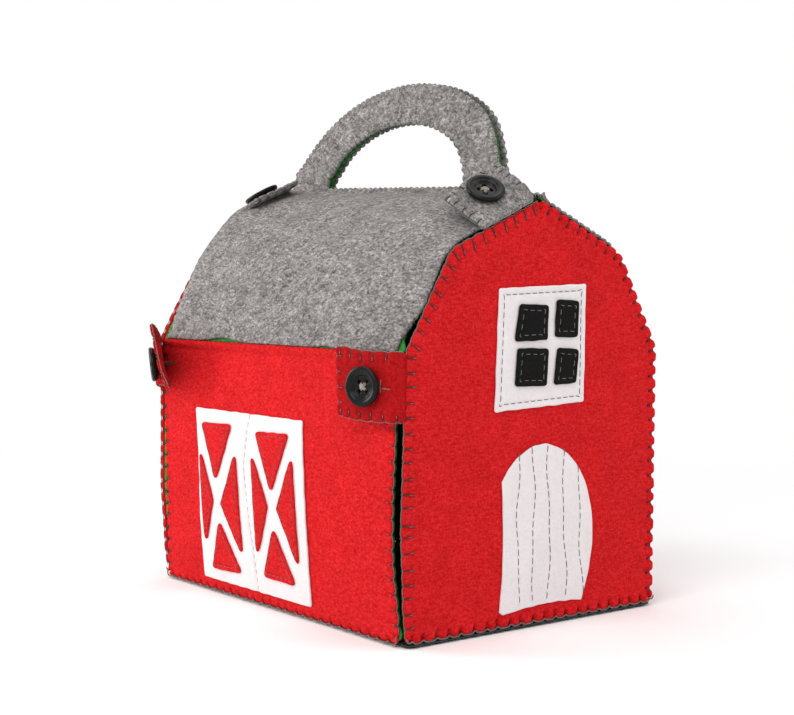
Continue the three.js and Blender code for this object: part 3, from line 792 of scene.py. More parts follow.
def gable_loop(open_side):
    """Anticlockwise outline of a gable: straight upright edges, two slopes a side, its corners
    rounded, and the upright edge that opens cut a little in and out by hand."""
    corners = [
        (-HALF_WIDTH, SEAM_HEIGHT), (HALF_WIDTH, SEAM_HEIGHT), (HALF_WIDTH, EAVE_HEIGHT),
        (SHOULDER_HALF_WIDTH, SHOULDER_HEIGHT), (0, PEAK_HEIGHT),
        (-SHOULDER_HALF_WIDTH, SHOULDER_HEIGHT), (-HALF_WIDTH, EAVE_HEIGHT),
    ]
    loop = spaced(rounded(corners, (3, 3, 14, 12, 9, 12, 14)), 2.0)
    cut = np.interp(loop[:, 1], (2, 18, 35, 55, 95, 140), (-1.8, 0.1, 0.7, 1.8, 0.7, -0.4)) * open_side
    free = (loop[:, 0] * open_side > HALF_WIDTH - 4) & (loop[:, 1] < EAVE_HEIGHT)
    loop[:, 0] += np.where(free, cut, 0)
    return loop


def gable_swell(flat):
    """How far the gable's felt stands off flat: soft ripples that die out at the stitched edge."""
    x, y = flat.T
    room = np.minimum(np.minimum(HALF_WIDTH - np.abs(x), y - SEAM_HEIGHT), PEAK_HEIGHT - y - np.abs(x) * 0.62)
    return (0.5 * waves(x, y, 75, 11) + 0.3) * smooth(room, 2, 26)


DOOR_WIDTH, DOOR_HEIGHT, DOOR_OFFSET, DOOR_FOOT = 66.0, 84.5, 6.2, 8.2
DOOR_START = (0.0, 0.02)
DOOR_CURVES = (
    ((0.035, 0.0), (0.48, 0.05), (0.87, 0.015)),
    ((0.87, 0.015), (1.06, 0.37), (0.93, 0.68)),
    ((0.93, 0.68), (0.79, 0.97), (0.43, 1.0)),
    ((0.43, 1.0), (0.16, 0.98), (0.012, 0.79)),
    ((0.012, 0.79), (0.05, 0.4), DOOR_START),
)
DOOR_LINES = ((-14.5, -15.5, 89.0), (-4.2, -5.2, 92.0), (7.0, 5.2, 92.3), (18.8, 15.6, 89.5), (31.5, 26.0, 80.5))
DOOR_LINE_FOOT = 12.8


def door_loop():
    """Anticlockwise outline of the arched door: five parabolas through points given as shares of
    its width and height."""
    t = np.linspace(0, 1, 24, endpoint=False)[:, None]
    parts = [[DOOR_START]] + [curve(*(np.array(point) for point in points), t) for points in DOOR_CURVES]
    across, up = np.vstack(parts).T
    return np.stack([DOOR_OFFSET + (across - 0.5) * DOOR_WIDTH, DOOR_FOOT + up * DOOR_HEIGHT], axis=1)


def door_lines():
    """Five stitched lines between the door's boards, each a straight line from foot to arch that
    wanders by up to a millimetre."""
    t = np.linspace(0, 1, 60)
    lines = []
    for i, (foot, top, height) in enumerate(DOOR_LINES):
        y = DOOR_LINE_FOOT + (height - DOOR_LINE_FOOT) * t
        x = foot + (top - foot) * t + 0.9 * np.sin(y / 11 + i * 1.9) + 0.5 * np.sin(y / 5.3 + i)
        lines.append(np.stack([x, y], axis=1))
    return lines


# The window's and the panes' boxes in the window's own square, and how far each of their corners
# lies off its place there
WINDOW_CENTRE, WINDOW_TURN = np.array([-0.6, 142.2]), radians(2)
WINDOW_BOX = (0, 0, 61.0, 60.5)
WINDOW_CORNERS = ((-1.6, -1.0), (-0.7, -0.3), (2.3, 0.0), (2.8, -0.7))
PANES = {
    "upper_left": ((-6.8, 11.4, 22.3, 18.4), ((-1.24, 0.66), (-0.94, 0.45), (0.45, -0.23), (2.95, 0.88))),
    "upper_right": ((17.1, 12.0, 17.6, 18.4), ((0.25, 1.05), (-1.04, 0.33), (0.73, 0.54), (2.34, 1.66))),
    "lower_left": ((-6.9, -11.2, 22.3, 18.4), ((-1.42, 1.04), (-1.95, -0.15), (-0.14, 0.36), (0.83, 1.75))),
    "lower_right": ((17.0, -10.9, 17.6, 18.4), ((-0.95, -0.36), (-2.58, -0.33), (-0.05, -1.35), (2.25, 0.18))),
}
WINDOW_HEM, PANE_HEM, TRIANGLE_HEM = 3.4, 3.0, 2.3


def in_window(box, offsets, radius):
    """Rounded outline of a box in the window's square, turned and moved to its place on the gable."""
    c, s = cos(WINDOW_TURN), sin(WINDOW_TURN)
    return rounded((rectangle(*box) + np.array(offsets)) @ np.array([[c, s], [-s, c]]) + WINDOW_CENTRE, radius)


def gable(side_name, turn, seed, open_side):
    """A gable with its window, panes and arched door, and every thread that holds them. Its edges
    are bare blanket stitch on the side that opens, and seams on the other side and at the foot."""
    body, place = "sewn_shell", side(turn, HALF_LENGTH)
    opens = lambda point: (point[:, 0] * open_side > 2) & ~at_foot(point)
    edges = [
        (opens, FREE_EDGE, BROWN_THREAD, (0.24, BROWN_THREAD, -0.9)),
        (lambda point: ~opens(point) & ~at_foot(point), SEAM_EDGE, DARK_THREAD_AND_SHADE, None),
        (at_foot, FOOT_EDGE, None, (0.45, BROWN_THREAD, 0.3)),
    ]
    loop = gable_loop(open_side)
    felt = panel(f"{side_name}_gable", body, turn, HALF_LENGTH, loop, (0, 104), gable_swell, seed, edges)

    square = in_window(WINDOW_BOX, WINDOW_CORNERS, 1.2)
    window = patch(
        f"{side_name}_window_felt", place, square, WINDOW_CENTRE, gable_swell, 1.3, WHITE, body,
        f"{side_name}_window_frame", felt, hem=WINDOW_HEM, seed=seed,
    )
    line = hem_stitch(square, 1.0, WINDOW_HEM, WINDOW_CENTRE, place, above(gable_swell, 1.0), 4.2, 0.3)
    sewn(f"{side_name}_window_stitching", [line], GREY_THREAD, body)
    stitches = []
    for i, (key, (box, offsets)) in enumerate(PANES.items()):
        loop = in_window(box, offsets, 2.0)
        centre = loop.mean(axis=0)
        patch(
            f"{side_name}_pane_{key}_felt", place, loop, centre, above(gable_swell, 1.25), 1.5, BLACK, body,
            f"{side_name}_pane_{key}", window, step=0.7, hem=PANE_HEM, seed=seed + i,
        )
        stitches.append(hem_stitch(loop, 0.8, PANE_HEM, centre, place, above(gable_swell, 2.48), 3.4, 1.2))
    sewn(f"{side_name}_pane_stitching", stitches, PANE_THREAD, body)
    lines = door_lines()
    patch(
        f"{side_name}_door_felt", place, door_loop(), (5.5, 48), gable_swell, 1.3, WHITE, body,
        f"{side_name}_arched_door", felt, lines=[(line, 0.45, 0.6) for line in lines], seed=seed + 9,
    )
    stitches = [running_stitch(line, place, above(gable_swell, 0.92), 4.4, 0.25) for line in lines]
    sewn(f"{side_name}_door_stitching", stitches, GREY_THREAD, body)


# The two long walls: the half length at each level of a wall's ends. The end that is cut by hand is
# drawn in at mid height and spread at the foot

LEVELS = np.linspace(1.2, EAVE_HEIGHT, 34)
CUT_LEVELS, CUT_BY = (2, 8, 18, 30, 43, 55, 71, 95, 140), (-2.2, -2.3, -1.2, 1.2, 2.7, 3.0, 2.9, 1.5, 0.3)
HAND_CUT = WALL_LENGTH / 2 - np.interp(LEVELS, CUT_LEVELS, CUT_BY)
SEWN_END, FAR_END = np.full(34, 110.0), np.full(34, 109.2)


def wall_loop(left_end, right_end):
    """Anticlockwise outline of a long wall from its two ends."""
    right, left = np.stack([right_end, LEVELS], axis=1), np.stack([-left_end, LEVELS], axis=1)[::-1]
    return rounded(np.vstack([right, left]), 3)


def wall_swell(flat):
    """How far the wall's felt stands off flat: a shallow belly in the middle and soft ripples, both
    gone at the stitched edge."""
    x, y = flat.T
    room = np.minimum(WALL_LENGTH / 2 - np.abs(x), np.minimum(y - SEAM_HEIGHT, EAVE_HEIGHT - y))
    return 1.6 * smooth(room, 2, 55) + (0.5 * waves(x, y, 70, 23) + 0.2) * smooth(room, 2, 24)


def rolled_top(flat):
    """The wall's rolled top: 0.7 h(deep; 1.8, 1.3) - 1.2 h(deep; 4.6, 0.9), deep being the distance
    below the wall's top."""
    deep = EAVE_HEIGHT - flat[:, 1]
    return 0.7 * hill(deep, 1.8, 1.3) - 1.2 * hill(deep, 4.6, 0.9)


def slipped_corner(flat):
    """The lining's foot at its right end, slipped out by 2.6 h(y; 5.2, 2.6) s(x; 94, 104)."""
    return 2.6 * hill(flat[:, 1], 5.2, 2.6) * smooth(flat[:, 0], 94, 104)


# Corners of the doors' triangles and points of the seam between the doors, as shares of the panel
LEAF_TRIANGLES = {
    "left_upper": ((0.062, 0.918), (0.37, 0.929), (0.185, 0.578)),
    "left_outer": ((0.022, 0.79), (0.158, 0.471), (0.055, 0.176)),
    "left_inner": ((0.392, 0.789), (0.232, 0.458), (0.42, 0.167)),
    "left_lower": ((0.207, 0.365), (0.105, 0.068), (0.395, 0.077)),
    "right_upper": ((0.59, 0.909), (0.9, 0.921), (0.715, 0.573)),
    "right_outer": ((0.538, 0.812), (0.677, 0.498), (0.55, 0.175)),
    "right_inner": ((0.92, 0.818), (0.76, 0.498), (0.935, 0.179)),
    "right_lower": ((0.716, 0.392), (0.603, 0.1), (0.897, 0.095)),
}
SEAM_SHARES = ((0.528, 1.0), (0.5, 0.9), (0.454, 0.699), (0.467, 0.515), (0.503, 0.254), (0.529, 0.0))
BARN_DOOR = {"width": 104.0, "height": 95.3, "foot": 7.2, "offset": 17.5, "shift": 7.0}


def barn_door_points(shares):
    """Points of the barn-door panel from their shares of its width and height, slanted as the sewn
    panel is."""
    across, up = np.asarray(shares, float).T
    x = (across - 0.5) * BARN_DOOR["width"] + (0.5 - up) * BARN_DOOR["shift"] - BARN_DOOR["offset"]
    return np.stack([x, BARN_DOOR["foot"] + up * BARN_DOOR["height"]], axis=-1)


def long_wall(side_name, body, turn, seed, ends, edges, loose=None):
    """A long wall with its pair of barn doors sewn on: a white panel with a seam down the middle
    and eight red triangles."""
    place, loop = side(turn, HALF_WIDTH), wall_loop(*ends)
    name, centre = f"{side_name}_wall", (0, 71)
    felt = panel(name, body, turn, HALF_WIDTH, loop, centre, wall_swell, seed, edges, rolled_top, loose)
    outline = rounded(barn_door_points([(0, 0), (1, 0), (1, 1), (0, 1)]), 1.5)
    seam = walked(barn_door_points(SEAM_SHARES), 60, closed=False)
    doors = patch(
        f"{side_name}_barn_doors_felt", place, outline, outline.mean(axis=0), wall_swell, 1.3, WHITE, body,
        f"{side_name}_barn_door_panel", felt, step=0.9, lines=[(seam, 0.95, 0.55)], seed=seed,
    )
    line = running_stitch(seam, place, above(wall_swell, 0.5), 3.8, 0.4, 0.2)
    sewn(f"{side_name}_barn_door_seam", [line], GREY_THREAD, body)
    stitches = []
    for i, (key, shares) in enumerate(LEAF_TRIANGLES.items()):
        corners = barn_door_points(shares)
        loop, centre = anticlockwise(rounded(corners, 2.4)), corners.mean(axis=0)
        patch(
            f"{side_name}_triangle_{key}_felt", place, loop, centre, above(wall_swell, 1.2), 1.5, RED, body,
            f"{side_name}_door_triangle_{key}", doors, step=0.7, hem=TRIANGLE_HEM, seed=seed + i,
        )
        stitches.append(hem_stitch(loop, 0.8, TRIANGLE_HEM, centre, place, above(wall_swell, 2.5), 2.5, 1.1))
    sewn(f"{side_name}_triangle_stitching", stitches, BROWN_THREAD, body)


# The base

BASE_MIDDLE = 0.9


def base():
    """Grey underside felt with its blanket stitches, and the green floor lining over the board."""
    place = lambda flat, height: np.column_stack([flat, height])
    no_swell = lambda flat: np.zeros(len(flat))
    loop = spaced(rounded(rectangle(0, 0, BARN_WIDTH - 5.0, BARN_LENGTH + 0.6), 3), 1.1)
    stitches = stitch_places(loop, 401, BASE_EDGE)
    flat, quads, edge, rim = star_pattern(loop, (0, 0), NEAR_INSETS, 10)
    groove, _, pull = pucker(flat, stitches)
    half = bulb(edge, FELT_THICK) * (1 - 0.2 * groove)
    front, back = BASE_MIDDLE + half - 0.6 * groove, BASE_MIDDLE - half + 0.7 * groove
    felt = felt_mesh("base_slate_felt", (flat + pull, quads, rim), front, back, place, SLATE)
    dress(felt, "sewn_shell", "base_underside_felt")
    middle = sewn_edge(BASE_MIDDLE, BASE_MIDDLE)
    top, under = skin(middle, FELT_THICK, 1, 0.25, share=0.8), skin(middle, FELT_THICK, -1, 0.38, share=0.8)
    parts = [
        thread_legs(place, stitches, top, under, no_swell, BASE_EDGE["radius"]),
        edge_thread(place, loop, stitches, 1.0, no_swell, 0.34),
    ]
    thread = sewn("base_blanket_stitches", parts, BASE_THREAD, "sewn_shell")

    width, length = BARN_WIDTH - 2 * PANEL_THICKNESS - 1, BARN_LENGTH - 2 * PANEL_THICKNESS - 1
    loop = spaced(rounded(rectangle(0, 0, width, length), 3), 2.0)
    flat, quads, edge, rim = star_pattern(loop, (0, 0), FEW_INSETS, 14)
    half = bulb(edge, LINING_THICK)
    ripple = 0.35 * (waves(*flat.T, 50, 5) + 0.6) * smooth(edge, 1, 15)
    drop = -1.5 * (1 - smooth(edge, 0, 6))
    front, back = 4.75 + half + ripple + drop, 4.65 - half + drop
    floor = felt_mesh("base_green_floor", (flat, quads, rim), front, back, place, GREEN)
    dress(floor, "sewn_shell", "base_floor_lining")


# The roof

RISER = 0.3 + FELT_THICK + LAYER_GAP + LINING_THICK
ROOF_ROWS = 121.0
END_HALF = ROOF_LENGTH / 2 + 2.2
NEAR_FOOT, FAR_FOOT, HOLE_NEAR, HOLE_FAR = 91.3, 95.0, -55.5, 66.0
ARCH_MIDDLE, ARCH_RISE, HOLE_RISE, ARCH_TILT, HOLE_TILT = 6.0, 56.0, 34.0, 0.135, 0.11


def roof_lines():
    """The roof's outer line at its ends, close over the gable, and at its crown, swelled out in one
    curve."""
    eave = np.array([-(HALF_WIDTH + LAYER_GAP), EAVE_HEIGHT - 4.0])
    t = np.linspace(0, 1, 30)[:, None]
    over = 2.2
    foot = np.array([-RISER - 3.0, PEAK_HEIGHT + over - (RISER + 3.0) * SLOPE_SIN / SLOPE_COS])
    shoulder = np.array([-SHOULDER_HALF_WIDTH, SHOULDER_HEIGHT + over])
    before, after = (shoulder + unit(end - shoulder) * 12 for end in (eave, foot))
    at_end = np.vstack([eave, curve(before, shoulder, after, t), foot])
    top = np.array([-RISER - 3.0, PEAK_HEIGHT + 11.4 - 4.0])
    crown = curve(eave, np.array([-SHOULDER_HALF_WIDTH - 8.4, SHOULDER_HEIGHT + 22.0]), top, t)
    lines = []
    for slope in (at_end, crown):
        foot, slant = slope[-1], unit(slope[-1] - slope[-2])
        knee = np.array([-RISER, foot[1] + 3.0 * slant[1] / max(slant[0], 0.2)])
        top = np.array([-RISER, foot[1] + 4.0])
        turned = curve(foot, np.minimum(knee, top), top, np.linspace(0, 1, 12)[1:, None])
        fine = walked(np.vstack([slope, turned]), 900, closed=False)
        lines.append(walked(fine[fine[:, 1] >= EAVE_HEIGHT + 0.3], 120, closed=False))
    return lines


END_LINE, CROWN_LINE = roof_lines()
ROW_SHARES = np.linspace(0, 1, 120)


def crown_share(y):
    """How far the roof has swelled at a distance along the ridge: a smooth rise over 36 mm from the
    near end and over 11 mm from the far end."""
    return smooth((END_HALF - np.abs(y)) / np.where(y < 0, 36.0, 11.0), 0, 1)


def roof_place(face, cut, back):
    """Place function of a roof half. The flat pattern is (X along the ridge, row); a row is a share
    of the outer line from eave to ridge, and rows past the ridge go straight up in the handle's
    plane. Height is measured along the surface's own normal. The near end is cut back at the eave
    by the cut, less the back at the very corner. The far end is fuller by 4.6 h(u; 0.66, 0.25), u
    being the share from eave to ridge, and its edge laps over the gable's. The right half, which is
    sewn down, is 1.6 mm longer at both ends and 1.2 mm higher over the near gable, and its fullness
    and the ridge's lift end before the far gable."""

    def surface(x, row):
        y = face * x
        slope = cut * (1 - smooth(row, 2, 28)) - back * (1 - smooth(row, 3, 11))
        y = y + slope * smooth(-y, END_HALF - 26, END_HALF)
        if face == RIGHT:
            y = y + 1.6 * np.sign(y) * smooth(np.abs(y), END_HALF - 20, END_HALF)
        share, u = crown_share(y), np.clip(row / ROOF_ROWS, 0, 1)
        across, up = (
            (1 - share) * np.interp(u, ROW_SHARES, END_LINE[:, i]) + share * np.interp(u, ROW_SHARES, CROWN_LINE[:, i])
            for i in (0, 1)
        )
        full = 4.6 * hill(u, 0.66, 0.25) * smooth(y, 50, 98) * (1 - 0.55 * smooth(y, 101, 108.6))
        low = smooth(u, 0.03, 0.15) * (1 - smooth(u, 0.4, 0.6)) * smooth(y, 80, 106)
        full = full * (1 - smooth(u, 0.9, 1.0)) + 1.6 * low
        lift = 3.0 * smooth(u, 0.7, 1.0) * smooth(y, 72, 101)
        if face == RIGHT:
            full = full * (1 - smooth(y, 94, 106)) + 1.2 * smooth(u, 0.35, 0.55) * smooth(-y, 85, 106)
            lift = lift * (1 - smooth(y, 100, 108))
        across, up = across - 0.65 * full, up + 0.8 * full + lift
        up = up + 0.038 * y * share * smooth(u, 0.3, 1.0) + np.maximum(row - ROOF_ROWS, 0)
        return np.stack([across * -face, y, up], axis=1)

    def place(flat, height):
        x, row = flat.T
        step = 0.6
        along_x = surface(x + step, row) - surface(x - step, row)
        along_row = surface(x, row + step) - surface(x, row - step)
        return surface(x, row) + unit(np.cross(along_x, along_row)) * height[:, None]

    return place


def arch_outer(theta):
    """(y, rise over the ridge) of the handle's outer edge: a half ellipse, longer to the back,
    leaning forward."""
    y = ARCH_MIDDLE - np.where(np.cos(theta) > 0, NEAR_FOOT, FAR_FOOT) * np.cos(theta)
    return np.stack([y, ARCH_RISE * np.sin(theta) - ARCH_TILT * y * smooth(np.sin(theta), 0, 0.5)], axis=1)


def arch_inner(theta):
    """(y, rise over the ridge) of the hand hole's edge: a half ellipse leaning as the handle does."""
    y = (HOLE_NEAR + HOLE_FAR) / 2 - (HOLE_FAR - HOLE_NEAR) / 2 * np.cos(theta)
    return np.stack([y, HOLE_RISE * np.sin(theta) - HOLE_TILT * y * smooth(np.sin(theta), 0, 0.5)], axis=1)


def crowded(length, step, ends=(0.0, 0.22, 0.6, 1.2, 2.0, 3.0)):
    """Places from 0 to length: crowded at both ends, evenly stepped between."""
    ends = np.asarray(ends)
    inner = np.linspace(ends[-1], length - ends[-1], max(2, int(round((length - 2 * ends[-1]) / step)) + 1))
    return np.concatenate([ends[:-1], inner, (length - ends[:-1])[::-1]])


def roof_pattern(face, step):
    """Flat pattern of a roof half: a grid over the sheet, and a band of rings for the handle whose
    feet share the sheet's top points."""
    near, far = (HOLE_NEAR, ARCH_MIDDLE - NEAR_FOOT), (HOLE_FAR, ARCH_MIDDLE + FAR_FOOT)
    w = crowded(1.0, step / 30, (0.0, 0.01, 0.028, 0.05, 0.085, 0.13))
    y = np.unique(np.round(np.concatenate([
        -END_HALF + crowded(END_HALF + near[1], step),
        near[0] + (near[1] - near[0]) * w,
        crowded(HOLE_FAR - HOLE_NEAR, step, (0.0, 0.6, 1.4)) + HOLE_NEAR,
        far[0] + (far[1] - far[0]) * w,
        far[1] + np.linspace(0, END_HALF - far[1], 9),
    ]), 4))
    rows = np.unique(np.round(crowded(ROOF_ROWS, step), 4))
    sheet = np.stack(np.meshgrid(np.sort(face * y), rows, indexing="ij"), axis=-1)
    theta, share = np.linspace(0, pi, int(250 / step * 1.15)), w[None, :, None]
    band = arch_inner(theta)[:, None] * (1 - share) + arch_outer(theta)[:, None] * share
    band = band * (face, 1) + (0, ROOF_ROWS)
    parts = []
    for part in (sheet, band):
        index = numbered(*part.shape[:2])
        corners = index[:-1, :-1], index[1:, :-1], index[1:, 1:], index[:-1, 1:]
        parts.append((part.reshape(-1, 2), np.stack(corners, axis=-1).reshape(-1, 4)))
    flat, quads = welded(*merged(parts))
    turned = turn_sum(flat[quads][..., 0], flat[quads][..., 1])
    quads[turned < 0] = quads[turned < 0][:, ::-1]
    pairs = np.sort(np.concatenate([quads[:, [i, (i + 1) % 4]] for i in range(4)]), axis=1)
    edges, uses = np.unique(pairs, axis=0, return_counts=True)
    return flat, quads, np.unique(edges[uses == 1])


def roof_loops(face):
    """The roof half's outer cut edge and the edge of its hand hole, both anticlockwise in the
    pattern as seen from outside."""
    theta = np.linspace(0, pi, 90)
    start, end = [(-END_HALF, 0), (-END_HALF, ROOF_ROWS)], [(END_HALF, ROOF_ROWS), (END_HALF, 0)]
    ring = np.vstack([start, arch_outer(theta) + (0, ROOF_ROWS), end])
    hole = arch_inner(theta) + (0, ROOF_ROWS)
    return anticlockwise(ring * (face, 1)), anticlockwise(hole * (face, 1))


# Dents of the roof felt: middle along the ridge, middle row, length, width, turn and depth
DENTS = (
    (-62, 52, 26, 9, -0.5, -2.2), (-18, 70, 30, 8, 0.25, -1.6), (38, 44, 24, 10, 0.6, 1.4),
    (-80, 24, 14, 16, 0.2, -1.6), (60, 84, 22, 10, -0.3, -1.3), (-40, 92, 20, 6, 0.7, -1.2),
    (8, 30, 26, 7, -0.6, -1.5), (78, 30, 16, 7, 0.8, -1.3),
)


def roof_undulation(face, flat):
    """Soft dents and swells of the unstiffened roof felt, in millimetres off its smooth shape, gone
    towards the ridge and the handle."""
    y, row = face * flat[:, 0], flat[:, 1]
    calm = (1 - smooth(row, ROOF_ROWS - 20, ROOF_ROWS - 4)) * smooth(row, 0, 14)
    calm = calm * smooth(END_HALF - np.abs(y), 0, 16)
    total = 1.0 * waves(y, row, 46, 31) + 0.75 * waves(y, row, 21, 32) + 0.3 * waves(y, row, 10, 33)
    for centre_y, centre_row, long, short, turn, depth in DENTS:
        u = (y - centre_y) * cos(turn) + (row - centre_row) * sin(turn)
        v = (row - centre_row) * cos(turn) - (y - centre_y) * sin(turn)
        total = total + depth * np.exp(-((u / long) ** 2) - (v / short) ** 2)
    return total * calm


def eave_shift(face, flat):
    """How far the grey felt's lower edge is cut above the lining's: 2.1 h(y; 52, 16) +
    1.1 h(y; -44, 8) - 0.3, gone 9 mm up."""
    y = face * flat[:, 0]
    rise = 2.1 * hill(y, 52, 16) + 1.1 * hill(y, -44, 8) - 0.3
    return np.stack([np.zeros(len(flat)), rise * (1 - smooth(flat[:, 1], 0, 9))], axis=1)


def roof_half(side_name, body, face, seed):
    """A roof half: grey felt outside and green felt inside, whipped together round the ridge, the
    handle and the hand hole. The lining is cut 1.3 mm smaller than the felt, and 3.3 mm at the
    near end."""
    name = f"{side_name}_roof"
    cut, back_cut = (7.0, 3.6) if face == LEFT else (0.0, 0.0)
    outer, hole = roof_loops(face)
    outer_fine, hole_fine = spaced(outer, 1.0), spaced(hole, 1.0)[::-1]
    at_ridge = lambda point: (np.abs(point[:, 0]) > END_HALF - 1.5) & (np.abs(point[:, 1] - ROOF_ROWS) < 3)
    whipped = lambda point: (point[:, 1] > 4) & ~at_ridge(point)
    stitches = joined(
        stitch_places(outer_fine, seed, WHIP_EDGE, 0.08, whipped),
        stitch_places(hole_fine, seed + 1, WHIP_EDGE, 0.08),
    )
    rims = np.vstack([outer_fine, hole_fine])
    deeper = (face * outer_fine[:, 0] < 0) & (outer_fine[:, 1] > 16)
    smaller = 1.3 + 2.0 * np.concatenate([deeper, np.zeros(len(hole_fine))])
    inwards = np.vstack([inward(outer_fine), inward(hole_fine)]) * smaller[:, None]
    swell = lambda flat: roof_undulation(face, flat)
    grey, green = sewn_edge(-0.9, -1.1, 5.0), sewn_edge(-2.95, -2.55, 5.0)
    places = roof_place(face, cut, 0.0), roof_place(face, cut, back_cut)
    for place, layer, material, slot, step, middle, thick in (
        (places[0], "felt", GREY, "grey_felt", 1.5, grey, FELT_THICK),
        (places[1], "lining", GREEN, "green_felt", 2.2, green, LINING_THICK),
    ):
        flat, quads, rim = roof_pattern(face, step)
        edge = np.minimum(distance_to(flat, ringed(outer)), distance_to(flat, ringed(hole)))
        edge[rim] = 0
        groove, puff, pull = pucker(flat, stitches, 0.95, 2.0)
        half = bulb(edge, thick) * (1 - 0.25 * groove)
        puff = puff * hill(edge, 1.8, 1.8)
        front, back = middle(edge) + half + swell(flat), middle(edge) - half + swell(flat)
        moved = flat + pull
        if layer == "felt":
            front = front + (puff - groove)
            moved = moved + eave_shift(face, flat)
        else:
            back = back + (groove - puff)
            close = edge < 5
            nearest = ((flat[close, None] - rims[None]) ** 2).sum(axis=2).argmin(axis=1)
            share = (1 - smooth(edge[close], 0, 5)) * (flat[close, 1] > 4)
            moved[close] += inwards[nearest] * share[:, None]
        piece = felt_mesh(f"{name}_{slot}", (moved, quads, rim), front, back, place, material)
        dress(piece, body, f"{name}_{layer}")
    outer_skin, inner_skin = skin(grey, FELT_THICK, 1, 0.42), skin(green, LINING_THICK, -1, 0.35)
    legs = thread_legs(places[0], stitches, outer_skin, inner_skin, swell, WHIP_EDGE["radius"])
    thread = sewn(f"{name}_whip_stitches", [legs], GREY_THREAD, body)


# Buttoned tabs

TAB_FRONT = 3.5
EAVE_TAB = {"length": 43.0, "width": 33.2, "button": 21.0}
RIDGE_TAB = {"length": 37.0, "width": 38.5, "button": 20.0}
SLIT_LENGTH, SLIT_WIDTH, SLIT_PAST_BUTTON = 18.4, 1.2, 9.4
EAVE_STAND_OFF, RIDGE_RISE = radians(14), radians(23.04)
EAVE_TAB_MIDDLE, RIDGE_TAB_MIDDLE = 123.8, 24.25


def eave_axes(s):
    """Root, along and out of an eave tab in its gable's own X, Y, Z."""
    root = np.array([s * (HALF_WIDTH + LAYER_GAP), EAVE_TAB_MIDDLE, 0.0])
    along = np.array([s * sin(EAVE_STAND_OFF), 0, -cos(EAVE_STAND_OFF)])
    return root, along, np.array([s * cos(EAVE_STAND_OFF), 0, sin(EAVE_STAND_OFF)])


def ridge_axes(s):
    """Root, along and out of a ridge tab in its gable's own X, Y, Z."""
    normal = np.array([s * SLOPE_SIN, SLOPE_COS, 0])
    root = np.array([s * RIDGE_TAB_MIDDLE * SLOPE_COS, PEAK_HEIGHT - RIDGE_TAB_MIDDLE * SLOPE_SIN, 0])
    along = np.array([0, 0, -cos(RIDGE_RISE)]) + normal * sin(RIDGE_RISE)
    return root + LAYER_GAP * normal, along, normal * cos(RIDGE_RISE) + np.array([0, 0, sin(RIDGE_RISE)])


def axes_place(turn, root, along, out, bend):
    """Place function on a tab's axes: root + X * along + Y * across + height * out, turned with its
    gable. Bend gives how far each (X, Y) is moved along, across and out."""
    start = in_side(turn, root + (0, 0, HALF_LENGTH))
    axes = np.array([in_side(turn, v) for v in (along, np.cross(out, along), out)])

    def place(flat, height):
        x, y = flat.T
        ahead, aside, lift = bend(x, y)
        return start + np.stack([x + ahead, y + aside, height + lift], axis=1) @ axes

    return place


def tuck(x):
    """The root's tuck behind the gable's edge: -2 (1 - s(x; 0, 7))."""
    return -2.0 * (1 - smooth(x, 0, 7))


# How each tab is bent, as (ahead, aside, lift) in millimetres. The two far ones stand off the
# barn, and the near ridge tab is stretched over the swelled roof.
BENDS = {
    "front_eave": lambda x, y: (
        -(3.1 + 1.0 * y / 16.6) * smooth(x, 26, 43), -(1.65 - 0.35 * y / 16.6) * smooth(x, 20, 43), tuck(x)
    ),
    "front_ridge": lambda x, y: (
        -x * (0.17 + 0.12 * y / 19.25) - 9.5 * smooth(-y, 2, 19) * smooth(x, 16, 37), 0 * x,
        tuck(x) / 2 + 0.8 + 5.0 * smooth(x, 0, 37) + 4.6 * smooth(-y, 0, 17) * smooth(x, -2, 9),
    ),
    "back_eave": lambda x, y: (
        0 * x, 7.0 * smooth(x, 8, 43) * smooth(y, -2, 17) + 2.2 * smooth(x, 0, 14) + 4.5 * smooth(-y, 0, 16.6),
        tuck(x) + 0.045 * np.maximum(x, 0) ** 1.5 + (0.28 * y - 1.0) * smooth(x, 5, 43),
    ),
    "back_ridge": lambda x, y: (
        3.0 * smooth(x, 0, 20), (2.0 - 0.2 * y) * smooth(x, 0, 20),
        tuck(x) + 6.5 * smooth(x, 0, 16) - 0.05 * np.maximum(x - 16, 0),
    ),
}


def slit_points(loop, size):
    """For each point of a tab's outline, its partner on the edge of the slit: a long narrow oval
    about the slit's middle."""
    middle = size["button"] + SLIT_PAST_BUTTON - SLIT_LENGTH / 2
    angle = np.arctan2(loop[:, 1] / size["width"], (loop[:, 0] - middle) / size["length"])
    x = np.sign(np.cos(angle)) * np.abs(np.cos(angle)) ** 0.85 * SLIT_LENGTH / 2
    y = np.sign(np.sin(angle)) * np.abs(np.sin(angle)) ** 0.5 * SLIT_WIDTH / 2
    return np.stack([middle + x, y], axis=1)


